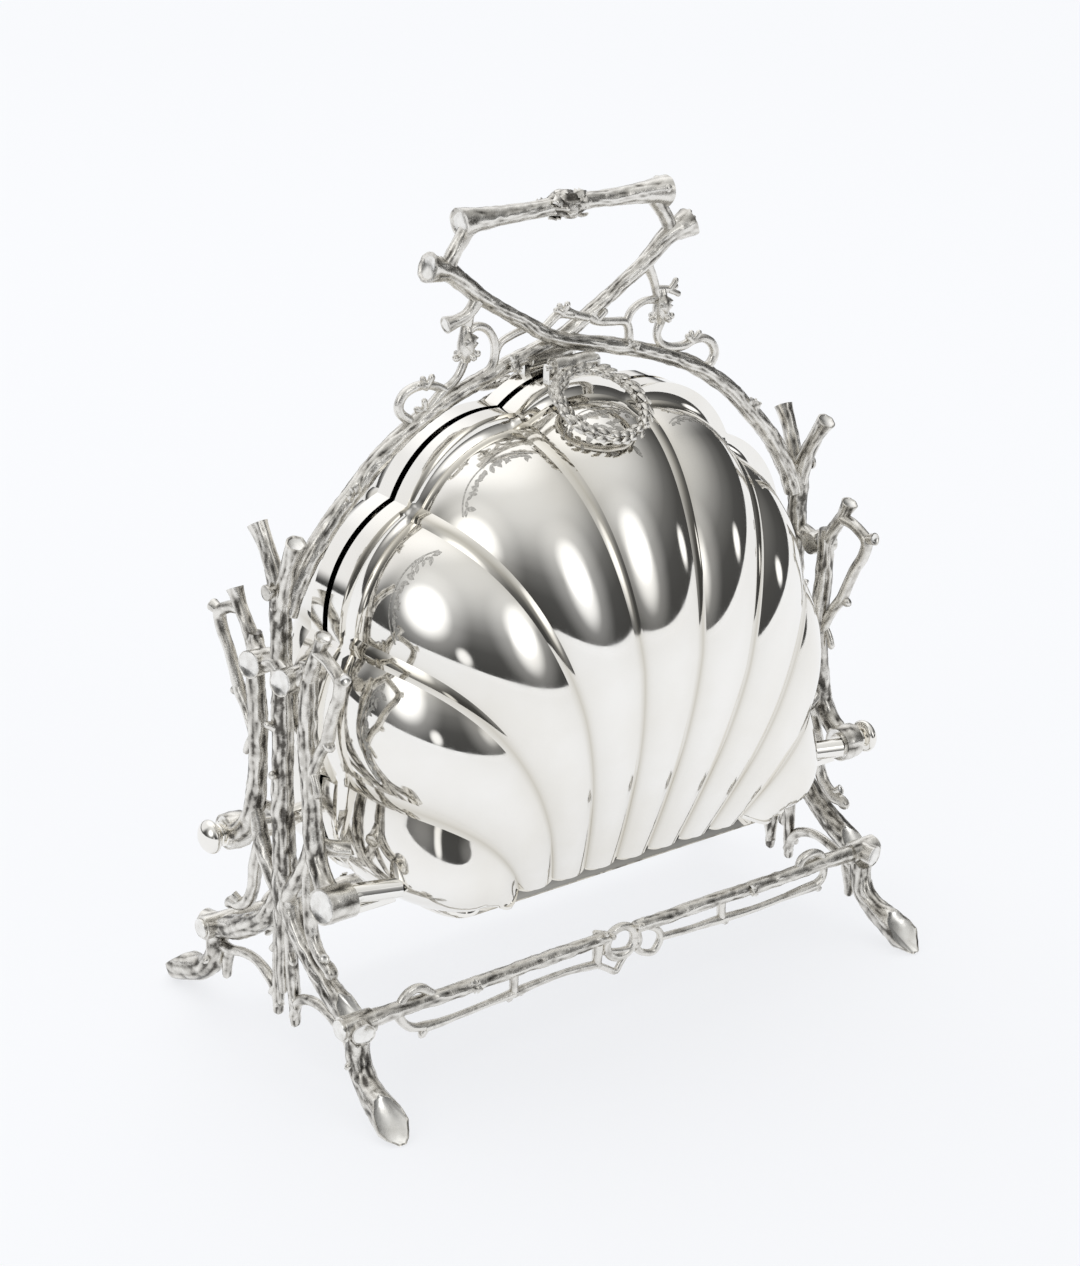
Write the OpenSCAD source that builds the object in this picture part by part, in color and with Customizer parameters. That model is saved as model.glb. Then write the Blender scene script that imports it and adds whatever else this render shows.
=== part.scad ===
// Folding biscuit box: two scallop shell halves that hinge down inside a cast branch frame.
// X runs along the pivots, the front looks along -Y, Z is up and the feet stand on Z = 0.

/* [Frame] */
// Distance between the two trestle planes
frame_span = 232; // [222:1:280]
// Distance between the front and the rear foot tips
foot_spread = 150; // [136:1:190]
// Height of the shell pivots above the floor
pivot_height = 74.4; // [70:0.2:90]
// Distance between the front and the rear pivot
pivot_spread = 68; // [66:1:78]
// Height of the fork tips at the top of a trestle
fork_height = 195; // [170:1:234]
// Height of the knots where the upper cross branch meets the trunk
knot_height = 148; // [130:1:160]
// Distance between the two stretchers
rail_spread = 90.6; // [84:0.2:110]
// Height of the stretchers
rail_height = 32.7; // [28:0.1:36]

/* [Arch and handle] */
// Height of the arch branch at its crown
arch_height = 241.6; // [241:0.2:280]
// Height of the grip bar
grip_height = 292; // [285:1:345]
// Length of the grip bar
grip_length = 84; // [76:1:104]
// Half distance between the two handle elbows
elbow_reach = 47.6; // [42:0.2:58]

/* [Branches] */
// Diameter of the trunk and the legs
trunk_d = 9.4; // [8:0.1:10.5]
// Diameter of the side stems
stem_d = 6.6; // [5.5:0.1:8]
// Diameter of the thin twigs
twig_d = 4.4; // [3.6:0.1:5.4]
// Diameter of the arch branch
arch_d = 7.2; // [6:0.1:7.8]
// Diameter of the grip bar
grip_d = 6.8; // [5.6:0.1:8.4]
// Diameter of the stretcher branch
rail_d = 6.6; // [5.6:0.1:8]

/* [Shell] */
// Height of the centre that the lobes fan around
shell_centre = 125; // [123:0.5:128]
// Radius from that centre to the tip of a lobe
shell_radius = 108.5; // [92:0.5:109]
// Depth of the scallops between the lobes
scallop = 5.5; // [3:0.1:8]
// Angle that one lobe takes at the border
lobe_angle = 29; // [27:0.1:29]
// Depth of the middle groove from the rim plane
shell_depth = 67; // [58:0.5:70]
// Width of one flute along the bottom edge
flute_width = 14.4; // [12:0.1:15]
// Height of a flute as a share of its width
flute_rise = 0.085; // [0.05:0.005:0.12]
// How much more the two end flutes swell
end_swell = 2; // [0:0.1:2.4]
// Wall of the shell
wall = 1.4; // [1.2:0.1:1.8]
// Half of the gap between the two rims
rim_gap = 0.8; // [0.5:0.1:1.5]
// Depth of the plain border behind the lobe heads
border = 8.8; // [7.6:0.1:11]
// Width of the ledge between the border and the grooves
ledge = 5.5; // [4:0.1:9]

/* [Pivots] */
// Diameter of a pivot pin
pin_d = 4; // [3:0.1:4.8]
// Outer diameter of a hinge tube on a shell
tube_d = 7.2; // [6.4:0.1:8]
// Outer diameter of a bush in a trestle
bush_d = 8; // [7:0.1:9]
// Diameter of the boss that holds a bush
boss_d = 12.4; // [11.6:0.1:14]
// Length of a bush
bush_length = 8; // [6:0.1:10]
// Diameter of a pivot knob
knob_d = 11.6; // [9:0.1:14]
// Length of a pivot knob
knob_length = 6.6; // [5:0.1:9]
// Radial clearance of a running fit
running_gap = 0.05; // [0.02:0.01:0.1]
// Clearance between pieces that are soldered or screwed together
seat_gap = 0.12; // [0.05:0.01:0.25]
// Clearance between pieces that move past each other
free_gap = 0.5; // [0.3:0.1:1]

/* [Lift rings] */
// Outer diameter of a wreath ring
ring_d = 36; // [28:0.5:38]
// Thickness of the wreath
wreath_d = 4.2; // [3.6:0.1:5]
// Slope of a ring that lies on its shell
ring_slope = 32; // [26:1:34]
// Outer diameter of the barrel on a ring
barrel_d = 3.6; // [3:0.1:4]

/* [Grilles] */
// Thickness of a pierced grille
grille_t = 1.2; // [1:0.1:1.6]
// Width of a slot in a grille
slot_width = 5; // [3:0.1:6]
// Outer diameter of a grille hinge knuckle
knuckle_d = 4; // [3.6:0.1:4.4]

/* [Hidden] */
$fn = 48;

cast_silver = [0.70, 0.69, 0.66];
bright_silver = [0.86, 0.86, 0.85];

// Half sizes and places that several pieces share
plane_x = frame_span / 2;
pivot_y = pivot_spread / 2;
rail_y = rail_spread / 2;
foot_y = foot_spread / 2;
crotch = [0, pivot_height - 9];
fork_base = [0, fork_height - 18];
boss_out = plane_x + boss_d * 0.8;
boss_in = plane_x - boss_d * 0.36;
bush_out = boss_in + bush_length;
tube_end = boss_in - free_gap;
collar_t = 2.2;
knob_in = bush_out + 2 * seat_gap + collar_t;

// Screws that hold the stretchers and the arch
screw_d = 3;
screw_hole_d = screw_d + 2 * seat_gap;
screw_head_d = 7.6;
screw_head_t = 2;
screw_bite = 6;
rail_end = plane_x - trunk_d * 0.6;
arch_end = plane_x - trunk_d * 0.5;

// Arch places
arch_low = knot_height - 22;
arch_half = [plane_x + 5.5, arch_height - arch_low];
crossing = [0, arch_height + 2.6];
elbow = [elbow_reach, mix(arch_height, grip_height, 0.69)];

// Shell places
lobes = 9;
last_lobe = lobes / 2;
groove_radius = shell_radius - scallop - ledge;
bottom_edge = [48.5, pivot_height - 8.4];
deepest = 0.64;
rows = [0, 24, 46, 68, 90];
low_rows = [0.5, 1];
lobe_steps = [-0.5, -0.28, 0, 0.28];
shell_rows = 2 + len(rows) + len(low_rows);
columns = [for (lobe = [-4 : 4], f = lobe_steps) lobe + f, last_lobe];
across = len(columns);
around = 2 * across - 2;
sweep_radius = pivot_y - rim_gap;
tube_in = tube_reach() + seat_gap;
pin_tip = tube_in + free_gap;

// Lift ring and grille places
ring_axis = [1.8 - border, shell_centre + shell_radius + wreath_d / 2 + 1.9];
ring_reach = ring_d / 2 + 1.2;
ring_bore = barrel_d * 0.45;
lug_x = ring_d / 4;
lug_t = 2.2;
grille_back = wall - border + 0.3;
hinge_line = [3.8 - border, shell_bottom() + wall + knuckle_d / 2 + 1.2];
hinge_pin_d = knuckle_d * 0.45;
hinge_x = [30, 50];
grille_low = hinge_line.y + 6;
knob_spot = shell_centre + shell_radius * 0.9;
stud_d = 2.4;

// Straight mix of two values
function mix(a, b, t) = a + (b - a) * t;

// Points from a to b, where each pair in shape is a share of the way in each direction
function route(a, b, shape) = [for (f = shape) [mix(a.x, b.x, f.x), mix(a.y, b.y, f.y)]];

// The same points on the other side of the trunk
function flip(points, side) = [for (p = points) [side * p.x, p.y]];

// Smooth curve through points, with a few steps between each pair
function bend(p0, p1, p2, p3, t) = 0.5 * (2 * p1 + (p2 - p0) * t + (2 * p0 - 5 * p1 + 4 * p2 - p3) * t * t
    + (3 * p1 - p0 - 3 * p2 + p3) * t * t * t);
function curve(p, steps) = let (last = len(p) - 1) [
    for (i = [0 : last - 1], k = [0 : steps - 1])
        bend(p[max(i - 1, 0)], p[i], p[i + 1], p[min(i + 2, last)], k / steps),
    p[last]];

// A tapering round branch along points in the XY plane
module branch(points, d_start, d_end, steps = 1, sides = 6, turn = 0.3) {
    path = curve(points, steps);
    last = len(path) - 1;
    rings = [for (i = [0 : last])
        let (way = path[min(i + 1, last)] - path[max(i - 1, 0)])
        let (across = [-way.y, way.x] / norm(way))
        let (r = mix(d_start, d_end, i / last) / 2)
        for (k = [0 : sides - 1])
            let (a = 360 * (k + turn) / sides)
            [path[i].x + r * cos(a) * across.x, path[i].y + r * cos(a) * across.y, r * sin(a)]];
    sleeves = [for (i = [0 : last - 1], k = [0 : sides - 1])
        let (a = i * sides + k, b = i * sides + (k + 1) % sides)
        each [[a, a + sides, b], [b, a + sides, b + sides]]];
    start = [for (k = [0 : sides - 1]) k];
    end = [for (k = [sides - 1 : -1 : 0]) last * sides + k];
    polyhedron(points = rings, faces = concat([start, end], sleeves));
}

// A swollen cut end between two points
module knot(from, to, d_from, d_to, sides = 6) {
    hull() {
        translate(from) sphere(d = d_from, $fn = sides);
        translate(to) sphere(d = d_to, $fn = sides);
    }
}

// Turns the XY plane into the upright plane of the right trestle
module in_trestle_plane() {
    translate([plane_x, 0, 0]) rotate([90, 0, 90]) children();
}

// Turns the XY plane into the upright plane of the arch
module in_arch_plane() {
    rotate([90, 0, 0]) children();
}

// Cylinder along X between two places, at a point of the YZ plane
module rod(x_from, x_to, at, d) {
    translate([x_from, at.x, at.y]) rotate([0, 90, 0]) cylinder(d = d, h = x_to - x_from);
}

// Tube along X
module sleeve(x_from, x_to, at, d, bore) {
    difference() {
        rod(x_from, x_to, at, d);
        rod(x_from - 1, x_to + 1, at, bore);
    }
}

// Half turn about the upright axis, which takes the front pieces to the rear
module at_rear() {
    rotate([0, 0, 180]) children();
}

// Trestle: one cast end of the frame, drawn as the right one
module trestle_side(side) {
    pivot = [pivot_y, pivot_height];
    rail = [rail_y, rail_height];
    foot = [foot_y, 0];
    loop_base = [17, knot_height + 2];
    stem_foot = [20, pivot_height + 11];
    loop_tip = [26.8, knot_height + 18.5];
    loop_corner = [38.5, knot_height + 9];
    stem = route(loop_base, stem_foot,
        [[0, 0], [-0.2, 0.2], [-0.3, 0.43], [0.05, 0.68], [0.5, 0.88], [1, 1]]);
    branch(flip(concat(stem, [pivot]), side), stem_d * 0.9, stem_d * 1.1);
    branch(flip(route(stem[4], crotch, [[0, 0], [0.35, 0.5], [0.65, 0.74], [1, 1]]), side),
        stem_d, stem_d * 1.1);
    branch(flip(route(loop_base, loop_tip, [[-0.2, -0.3], [0.66, 0.5], [1, 1]]), side), stem_d * 0.8, twig_d);
    branch(flip(route(loop_tip, loop_corner, [[-0.1, 0.4], [0.4, 0.75], [1, 1]]), side),
        twig_d, twig_d * 0.9, 1, 5);
    loop_back = route(loop_corner, stem[3],
        [[-0.05, -0.05], [0.25, 0.3], [0.46, 0.5], [0.75, 0.75], [1, 0.9]]);
    branch(flip(loop_back, side), twig_d * 0.9, twig_d, 1, 5);
    upper_leg = route(crotch, rail, [[0, 0], [0.24, 0.46], [0.46, 0.68], [0.68, 0.86], [1, 1]]);
    lower_leg = route(rail, foot, [[0.03, 0.28], [0.12, 0.54], [0.38, 0.74], [0.72, 0.83]]);
    branch(flip(concat(upper_leg, lower_leg), side), trunk_d, trunk_d * 0.9);
    spur = route([14, crotch.y + 11], [32, rail_height + 14], [[0, 0], [0.1, 0.55], [0.4, 0.8], [1, 1]]);
    branch(flip(spur, side), twig_d, twig_d * 0.7, 1, 5);
    root = [[1.5, crotch.y - 5], [4.5, rail_height + 8], [5, rail_height - 7], [5.5, rail_height - 19]];
    branch(flip(root, side), stem_d, twig_d);
    arc_end = [rail_y - 3.3, rail_height - 21];
    arc = route([5.2, rail_height - 11], arc_end,
        [[0, 0], [0.3, -0.5], [0.65, -0.5], [0.86, -0.15], [0.95, 0.5], [1, 1]]);
    branch(flip(arc, side), twig_d * 0.9, twig_d * 0.8, 1, 5);
    branch(flip([fork_base - [0, 6], mix(fork_base, [11.5, fork_height], 0.45), [11.5, fork_height]], side),
        stem_d, stem_d * 0.85);
    knot([side * 9.8, knot_height, 0], [side * 9.8, knot_height, trunk_d * 0.42], stem_d, stem_d * 0.8);
    knot([side * 11.2, fork_height - 0.8, 0], [side * 11.8, fork_height + 0.4, 0], stem_d * 0.9, stem_d);
    knot([side * loop_tip.x, loop_tip.y - 1, 0], [side * loop_tip.x, loop_tip.y, 0.4], twig_d, twig_d * 1.15);
    knot([side * rail_y, rail_height, -2], [side * rail_y, rail_height, 2.4], trunk_d * 1.05, trunk_d);
    knot([side * (foot_y - 11), 6, 0], [side * (foot_y - 4.6), 3.2, 0], trunk_d * 0.9, trunk_d * 0.95);
}

// Boss around a pivot, with a round cut end on the outside
module pivot_boss(side, reach) {
    translate([side * pivot_y, pivot_height, boss_in - plane_x])
        cylinder(d = boss_d, h = reach - boss_in, $fn = 18);
}

module trestle() {
    color(cast_silver)
    difference() {
        in_trestle_plane() union() {
            trunk = route([0, rail_height + 6], fork_base,
                [[0, 0], [0, 0.25], [0, 0.5], [0, 0.75], [0, 1]]);
            branch(trunk, trunk_d * 1.1, trunk_d * 0.85, 1, 8);
            branch([[-17, knot_height + 1], [0, knot_height + 3], [17, knot_height + 1]], stem_d, stem_d);
            for (side = [-1, 1]) trestle_side(side);
            pivot_boss(-1, bush_out);
            pivot_boss(1, boss_out);
        }
        // The floor cuts the feet flat
        translate([0, -foot_spread, -20]) cube([frame_span, 2 * foot_spread, 20]);
        // Seats of the two bushes: one goes through, one is blind
        for (side = [-1, 1])
            rod(boss_in - 1, side < 0 ? bush_out + 1 : bush_out + seat_gap,
                [side * pivot_y, pivot_height], bush_d + 2 * seat_gap + 0.06);
        // Flat seats of the stretchers, with their screw holes
        for (side = [-1, 1]) {
            rod(rail_end - trunk_d, rail_end, [side * rail_y, rail_height], trunk_d * 1.5);
            rod(plane_x - trunk_d, plane_x + 2 * trunk_d, [side * rail_y, rail_height], screw_hole_d);
        }
        rod(plane_x - trunk_d, plane_x + 2 * trunk_d, [0, arch_foot().y], screw_hole_d);
    }
}

// Screw along X with its head on a face
module screw(at, face, tip) {
    rod(tip, face + seat_gap, at, screw_d);
    rod(face + seat_gap, face + screw_head_t, at, screw_head_d);
}

module stretcher_screws() {
    color(cast_silver)
    for (turn = [0, 180], side = [-1, 1])
        rotate([0, 0, turn])
            screw([side * rail_y, rail_height], plane_x + trunk_d * 0.5 + 2.4, rail_end - screw_bite);
}

module arch_screws() {
    color(cast_silver)
    for (turn = [0, 180])
        rotate([0, 0, turn]) screw([0, arch_foot().y], plane_x + trunk_d * 0.5, arch_end - screw_bite);
}

// Arch: two limbs that cross at the crown and run on to the handle elbows
function arch_point(a) = [arch_half.x * cos(a), arch_low + arch_half.y * sin(a)];
function arch_foot() = arch_point(26);

module arch_limb(side) {
    to_elbow = route(crossing, [-elbow.x, elbow.y],
        [[1.12, 1.06], [0.97, 0.96], [0.7, 0.6], [0.35, 0.28], [0, 0]]);
    along = [for (a = [80, 70, 60, 50, 40, 32, 26, 22]) arch_point(a)];
    branch(flip(concat(to_elbow, along), side), arch_d * 0.8, arch_d, 1, 7, side > 0 ? 0.3 : 0.55);
    grip_foot = [grip_length / 2 - 6, grip_height];
    branch(flip(route(elbow, grip_foot, [[0.1, -0.1], [0.3, 0.5], [1, 1]]), side),
        arch_d * 0.9, arch_d * 0.8);
    // Twigs and curls beside the handle
    branch(flip([[36, elbow.y - 9], [44, elbow.y - 19], [41, elbow.y - 30], [47, arch_point(67).y]], side),
        twig_d, twig_d * 0.8);
    curl = arch_point(60) + [2, 7];
    branch(flip([for (a = [200 : -45 : -115]) curl + (5 + a / 90) * [cos(a), sin(a)]], side),
        twig_d * 0.9, twig_d * 0.7, 1, 5);
    inner_curl = [27, arch_height + 4.5];
    branch(flip([for (a = [-60 : 50 : 240]) inner_curl + (5.5 - a / 120) * [cos(a), sin(a)]], side),
        twig_d * 0.7, twig_d * 0.6, 1, 5);
    knot([side * (elbow.x + 5), elbow.y + 1.6, 0], [side * (elbow.x + 6.5), elbow.y + 2, 0],
        arch_d * 0.9, arch_d);
    knot([side * 41, elbow.y - 29, 0], [side * 40, elbow.y - 31, 1], twig_d, twig_d * 1.5);
    bud = arch_point(44);
    knot([side * bud.x, bud.y, 0], [side * (bud.x + 1.5), bud.y + 1.5, 0], arch_d, arch_d * 0.7);
    knot([side * curl.x, curl.y - 5.6, 0], [side * (curl.x - 3), curl.y - 6, 0], twig_d, twig_d);
}

module arch() {
    color(cast_silver)
    difference() {
        in_arch_plane() for (side = [-1, 1]) arch_limb(side);
        for (side = [-1, 1])
            rotate([0, 0, side < 0 ? 180 : 0]) {
                translate([arch_end - seat_gap, -20, 0]) cube([40, 40, arch_height]);
                rod(arch_end - screw_bite - 1, arch_end, [0, arch_foot().y], screw_hole_d);
            }
        // Seat of the grip bar, wider at its swollen ends
        rod(-grip_length, grip_length, [0, grip_height], grip_d + 2 * seat_gap);
        for (side = [-1, 1])
            translate([side * (grip_length / 2 + 3), 0, grip_height]) rotate([0, 90, 0])
                cylinder(d = grip_d * 1.3, h = 16, center = true);
    }
}

// Grip bar: a straight branch with swollen cut ends and a knot in the middle
module handle_grip() {
    half = grip_length / 2;
    bulge = grip_d * 0.62;
    outline = [[0, -half], [grip_d * 0.6, -half], [grip_d * 0.62, 2 - half], [grip_d * 0.5, 4.5 - half],
        [grip_d * 0.5, -9], [bulge, -6], [bulge * 1.15, 0], [bulge, 6], [grip_d * 0.5, 9],
        [grip_d * 0.5, half - 4.5], [grip_d * 0.62, half - 2], [grip_d * 0.6, half], [0, half]];
    color(cast_silver)
    translate([0, 0, grip_height]) rotate([0, 90, 0]) rotate_extrude() polygon(outline);
}

// Stretcher: a branch with a thinner twig below it and a ring in the middle
module stretcher_branches() {
    low = rail_height - 9.2;
    ring_at = [-2, rail_height - 2.4];
    thin = rail_d * 0.55;
    half = rail_end - seat_gap;
    branch([[-half, rail_height], [-half * 0.6, rail_height + 0.5], [-half * 0.25, rail_height - 0.3],
        [-9, rail_height + 0.4]], rail_d, rail_d * 0.85, 1, 7);
    branch([[half, rail_height], [half * 0.6, rail_height - 0.3], [half * 0.25, rail_height + 0.5],
        [5, rail_height - 0.4]], rail_d, rail_d * 0.85, 1, 7, 0.5);
    branch([[-half + 9, rail_height - 1], [-half + 13, low + 3.5], [-half + 20, low - 0.8],
        [-half * 0.6, low - 0.8], [-30, low + 0.6], [-13, low], [-5, low - 5.4]], thin, thin);
    branch([[half - 12, rail_height - 1], [half - 14, low + 3], [half - 22, low + 0.4],
        [half * 0.5, low + 0.2], [18, low + 1], [10, low - 0.6], [-5, low - 5.4]], thin, thin, 1, 6, 0.6);
    for (post = [-half * 0.45, -12.4, 10, half * 0.42])
        branch([[post, rail_height], [post + 1, mix(low, rail_height, 0.4)], [post, low]],
            thin, thin, 1, 6, 0.1);
    branch([for (a = [0 : 36 : 360]) ring_at + 6.4 * [cos(a + 7), sin(a + 7)]], thin, thin, 1, 5, 0.2);
    for (curl = [-half + 17, half - 21])
        branch([for (a = [-50 : 50 : 200]) [curl, rail_height + 3.6] + (4 - a / 100) * [cos(a), sin(a)]],
            thin * 0.8, thin * 0.7, 1, 5);
    for (leaf = [[-10, 3], [-6, 6], [0, 7], [4, 4]])
        knot([leaf.x * 0.7, rail_height + leaf.y * 0.6, 0], [leaf.x, rail_height + leaf.y, 0],
            thin, thin * 0.6, 6);
    for (post = [-half * 0.45, -half * 0.7, half * 0.42, half * 0.75])
        knot([post, rail_height, 0], [post + 1, rail_height + 1.6, 1], rail_d * 0.9, rail_d * 0.6);
}

module stretcher() {
    color(cast_silver)
    difference() {
        translate([0, -rail_y, 0]) in_arch_plane() stretcher_branches();
        for (side = [-1, 1])
            rotate([0, 0, side < 0 ? 180 : 0])
                rod(rail_end - screw_bite - 1, rail_end + 1, [-side * rail_y, rail_height], screw_hole_d);
    }
}

// Pivots: a bush in each boss, a knobbed pin at one end of each shell and a fixed pin at the other
module pivot_bushes() {
    color(bright_silver)
    for (turn = [0, 180], side = [-1, 1])
        rotate([0, 0, turn])
            sleeve(boss_in, bush_out, [side * pivot_y, pivot_height], bush_d, pin_d + 2 * running_gap);
}

module knob_pin() {
    color(bright_silver) rod(pin_tip, knob_in + knob_length * 0.55, [-pivot_y, pivot_height], pin_d);
}

module fixed_pin() {
    color(bright_silver)
    rotate([0, 0, 180]) rod(pin_tip, bush_out, [pivot_y, pivot_height], pin_d);
}

module knob() {
    bore = pin_d + 2 * running_gap;
    outline = [[0, 0], [knob_d * 0.3, 0], [knob_d * 0.32, knob_length * 0.12],
        [knob_d * 0.26, knob_length * 0.3], [knob_d * 0.44, knob_length * 0.42],
        [knob_d * 0.5, knob_length * 0.58], [knob_d * 0.47, knob_length * 0.8],
        [knob_d * 0.3, knob_length * 0.96], [0, knob_length]];
    color(bright_silver)
    translate([knob_in, -pivot_y, pivot_height]) rotate([0, 90, 0]) difference() {
        rotate_extrude() polygon(outline);
        translate([0, 0, -1]) cylinder(d = bore, h = knob_length * 0.55 + running_gap + 1);
    }
}

module pivot_collars() {
    r = bush_d / 2;
    bore_r = pin_d / 2 + running_gap;
    outline = [[bore_r, 0], [r, 0], [r + 0.7, collar_t * 0.25], [r - 0.4, collar_t * 0.5],
        [r + 0.3, collar_t * 0.75], [r - 0.6, collar_t], [bore_r, collar_t]];
    color(bright_silver)
    for (turn = [0, 180])
        rotate([0, 0, turn]) translate([bush_out + seat_gap, -pivot_y, pivot_height])
            rotate([0, 90, 0]) rotate_extrude() polygon(outline);
}

// Shell surface: s counts lobes from the middle, and each row is a ring from the rim to the bottom edge
function off_crest(s) = 2 * abs(s - round(s));
function crest(s) = 1 - off_crest(s) * off_crest(s);
function rim_radius(s) = shell_radius - scallop * (1 - crest(s));
function on_fan(s, r, y) = [r * sin(s * lobe_angle), y, shell_centre + r * cos(s * lobe_angle)];
function shell_bottom() = shell_centre + rim_radius(last_lobe) * cos(last_lobe * lobe_angle);
function unit(v) = v / norm(v);

// A groove runs from the ledge to the bottom edge: t goes from 0 to 1 and rise from 0 to 1 at its deepest
function groove(s, t, rise) =
    let (top = on_fan(s, groove_radius, 0))
    let (end = [flute_width * s, 0, bottom_edge.y])
    let (by = [mix(end.x, top.x, 0.42), 0, mix(end.z, top.z, 0.84)])
    let (depth = shell_depth - s * s)
    let (low = max(0, (t - deepest) / (1 - deepest)))
    let (y = mix(border + 1, depth, rise) - (depth - bottom_edge.x) * low * low)
    (1 - t) * (1 - t) * top + 2 * t * (1 - t) * by + t * t * end - [0, y, 0];
function upper(s, a) =
    let (n = 1.35 + 0.07 * s * s)
    groove(s, deepest * (1 - pow(cos(a), 2 / n)), pow(sin(a), 2 / n));
function lower(s, f) = groove(s, mix(deepest, 1, f), 1);
function base(s, row) = row < len(rows) ? upper(s, rows[row]) : lower(s, low_rows[row - len(rows)]);

// The flutes stand out of the grooves, square to the surface
function lean(s, row) =
    let (wide = base(s + 0.2, row) - base(s - 0.2, row))
    let (next = row == 0 ? [0, -1, 0] : base(s, row) - base(s, row - 1))
    unit(cross(next, wide)) * norm(wide) / 0.4;
function swell(s) = flute_rise * (1 + end_swell * max(0, abs(s) - 3.5));
function fluted(s, row) =
    let (fade = row < len(rows) ? 1 : 1 - 0.25 * low_rows[row - len(rows)])
    base(s, row) + lean(min(max(s, 0.4 - last_lobe), last_lobe - 0.4), row) * swell(s) * fade * crest(s);

// Rim points below the pivots follow its circle, so that the two halves pass each other
function rim_y(z) = sqrt(sweep_radius * sweep_radius - pow(max(0, pivot_height - z), 2)) - pivot_y;
function border_point(s, row) =
    let (p = on_fan(s, rim_radius(s), 0))
    [p.x, row == 0 ? rim_y(p.z) : -border, p.z];
function skin(s, row) = row < 2 ? border_point(s, row) : fluted(s, row - 2);

// Each ring goes over the lobes and back along the flat bottom
function under(s, row) = let (edge = skin(last_lobe, row)) [edge.x * s / last_lobe, edge.y, edge.z];
function ring_point(row, i) = i < across ? skin(columns[i], row) : under(columns[around - i], row);
function inward(p, row) =
    let (in = unit([-p.x, 0, shell_centre - p.z]))
    let (core = [0.6 * p.x, -12, mix(p.z, shell_centre, 0.6)])
    row == 0 ? in : row <= 2 ? in + [0, 1, 0] : unit(core - p);
// On the last row the bottom shares its points with the lobes
function slot_of(row, i) = row * around + (row == shell_rows - 1 && i >= across ? around - i : i % around);

module shell() {
    outer = [for (row = [0 : shell_rows - 1], i = [0 : around - 1]) ring_point(row, i)];
    inner = [for (row = [0 : shell_rows - 1], i = [0 : around - 1])
        let (p = ring_point(row, i)) p + wall * inward(p, row)];
    count = len(outer);
    quads = [for (row = [0 : shell_rows - 2], i = [0 : around - 1])
        let (next = (i + 1) % around)
        [slot_of(row, i), slot_of(row, next), slot_of(row + 1, next), slot_of(row + 1, i)]];
    outside = [for (q = quads) each [[q[0], q[1], q[2]], [q[0], q[2], q[3]]]];
    inside = [for (f = outside) [f[2] + count, f[1] + count, f[0] + count]];
    rim = [for (i = [0 : around - 1])
        let (a = i, b = (i + 1) % around)
        each [[b, a, a + count], [b, a + count, b + count]]];
    color(bright_silver) polyhedron(points = concat(outer, inner), faces = concat(outside, inside, rim));
}

// Hinge tubes start where the end lobe reaches furthest out within the width of a tube
function tube_reach() = max([for (i = [across - 6 : across - 2], row = [1 : 5])
    let (a = skin(columns[i], row), b = skin(columns[i + 1], row))
    let (c = skin(columns[i], row + 1), d = skin(columns[i + 1], row + 1))
    for (u = [0 : 0.1 : 1], v = [0 : 0.1 : 1])
        let (p = mix(mix(a, b, u), mix(c, d, u), v))
        norm([p.y + pivot_y, p.z - pivot_height]) < tube_d / 2 + 0.6 ? p.x : 0]);

module hinge_tube(side) {
    color(bright_silver)
    translate([side < 0 ? -tube_in - tube_end : 0, 0, 0])
        sleeve(tube_in, tube_end, [-pivot_y, pivot_height], tube_d, pin_d + 2 * running_gap);
}

// Lift ring: a wreath on a barrel, between two lugs on the border of the shell
function border_top(x) =
    let (beside = border_point(lobe_steps[3], 1))
    mix(shell_centre + shell_radius, beside.z, x / beside.x);

module ring_lugs() {
    seat = border_top(lug_x) + seat_gap;
    color(cast_silver)
    for (side = [-1, 1])
        translate([side < 0 ? -2 * lug_x - lug_t : 0, 0, 0]) difference() {
            union() {
                rod(lug_x, lug_x + lug_t, ring_axis, barrel_d * 0.95);
                translate([lug_x, ring_axis.x - barrel_d * 0.475, seat])
                    cube([lug_t, barrel_d * 0.95, ring_axis.y - seat]);
            }
            rod(lug_x - 1, lug_x + lug_t + 1, ring_axis, ring_bore + 2 * running_gap);
        }
}

module ring_pin() {
    color(cast_silver) rod(-lug_x - lug_t - 0.6, lug_x + lug_t + 0.6, ring_axis, ring_bore);
}

module wreath_ring() {
    color(cast_silver)
    difference() {
        union() {
            rod(free_gap - lug_x, lug_x - free_gap, ring_axis, barrel_d);
            translate([0, ring_axis.x, ring_axis.y]) rotate([ring_slope, 0, 0]) {
                translate([0, -ring_reach, 0])
                    rotate_extrude() translate([(ring_d - wreath_d) / 2, 0]) circle(d = wreath_d);
                translate([-2, -wreath_d * 0.7, -wreath_d * 0.3]) cube([4, wreath_d * 0.7, wreath_d * 0.6]);
            }
        }
        rod(-lug_x, lug_x, ring_axis, ring_bore + 2 * running_gap);
    }
}

// Grille: a pierced plate on the ledge of the shell, hinged along the bottom
function grille_radius(s) = rim_radius(s) - wall - free_gap - 0.3;

module grille_outline() {
    top = [for (lobe = [-4 : 4], f = lobe_steps)
        let (p = on_fan(lobe + f, grille_radius(lobe + f), 0))
        if (p.z > grille_low) [p.x, p.z]];
    foot_x = sqrt(pow(grille_radius(4), 2) - pow(shell_centre - grille_low, 2)) - 3;
    polygon(concat([[-foot_x, grille_low]], top, [[foot_x, grille_low]]));
}

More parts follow.
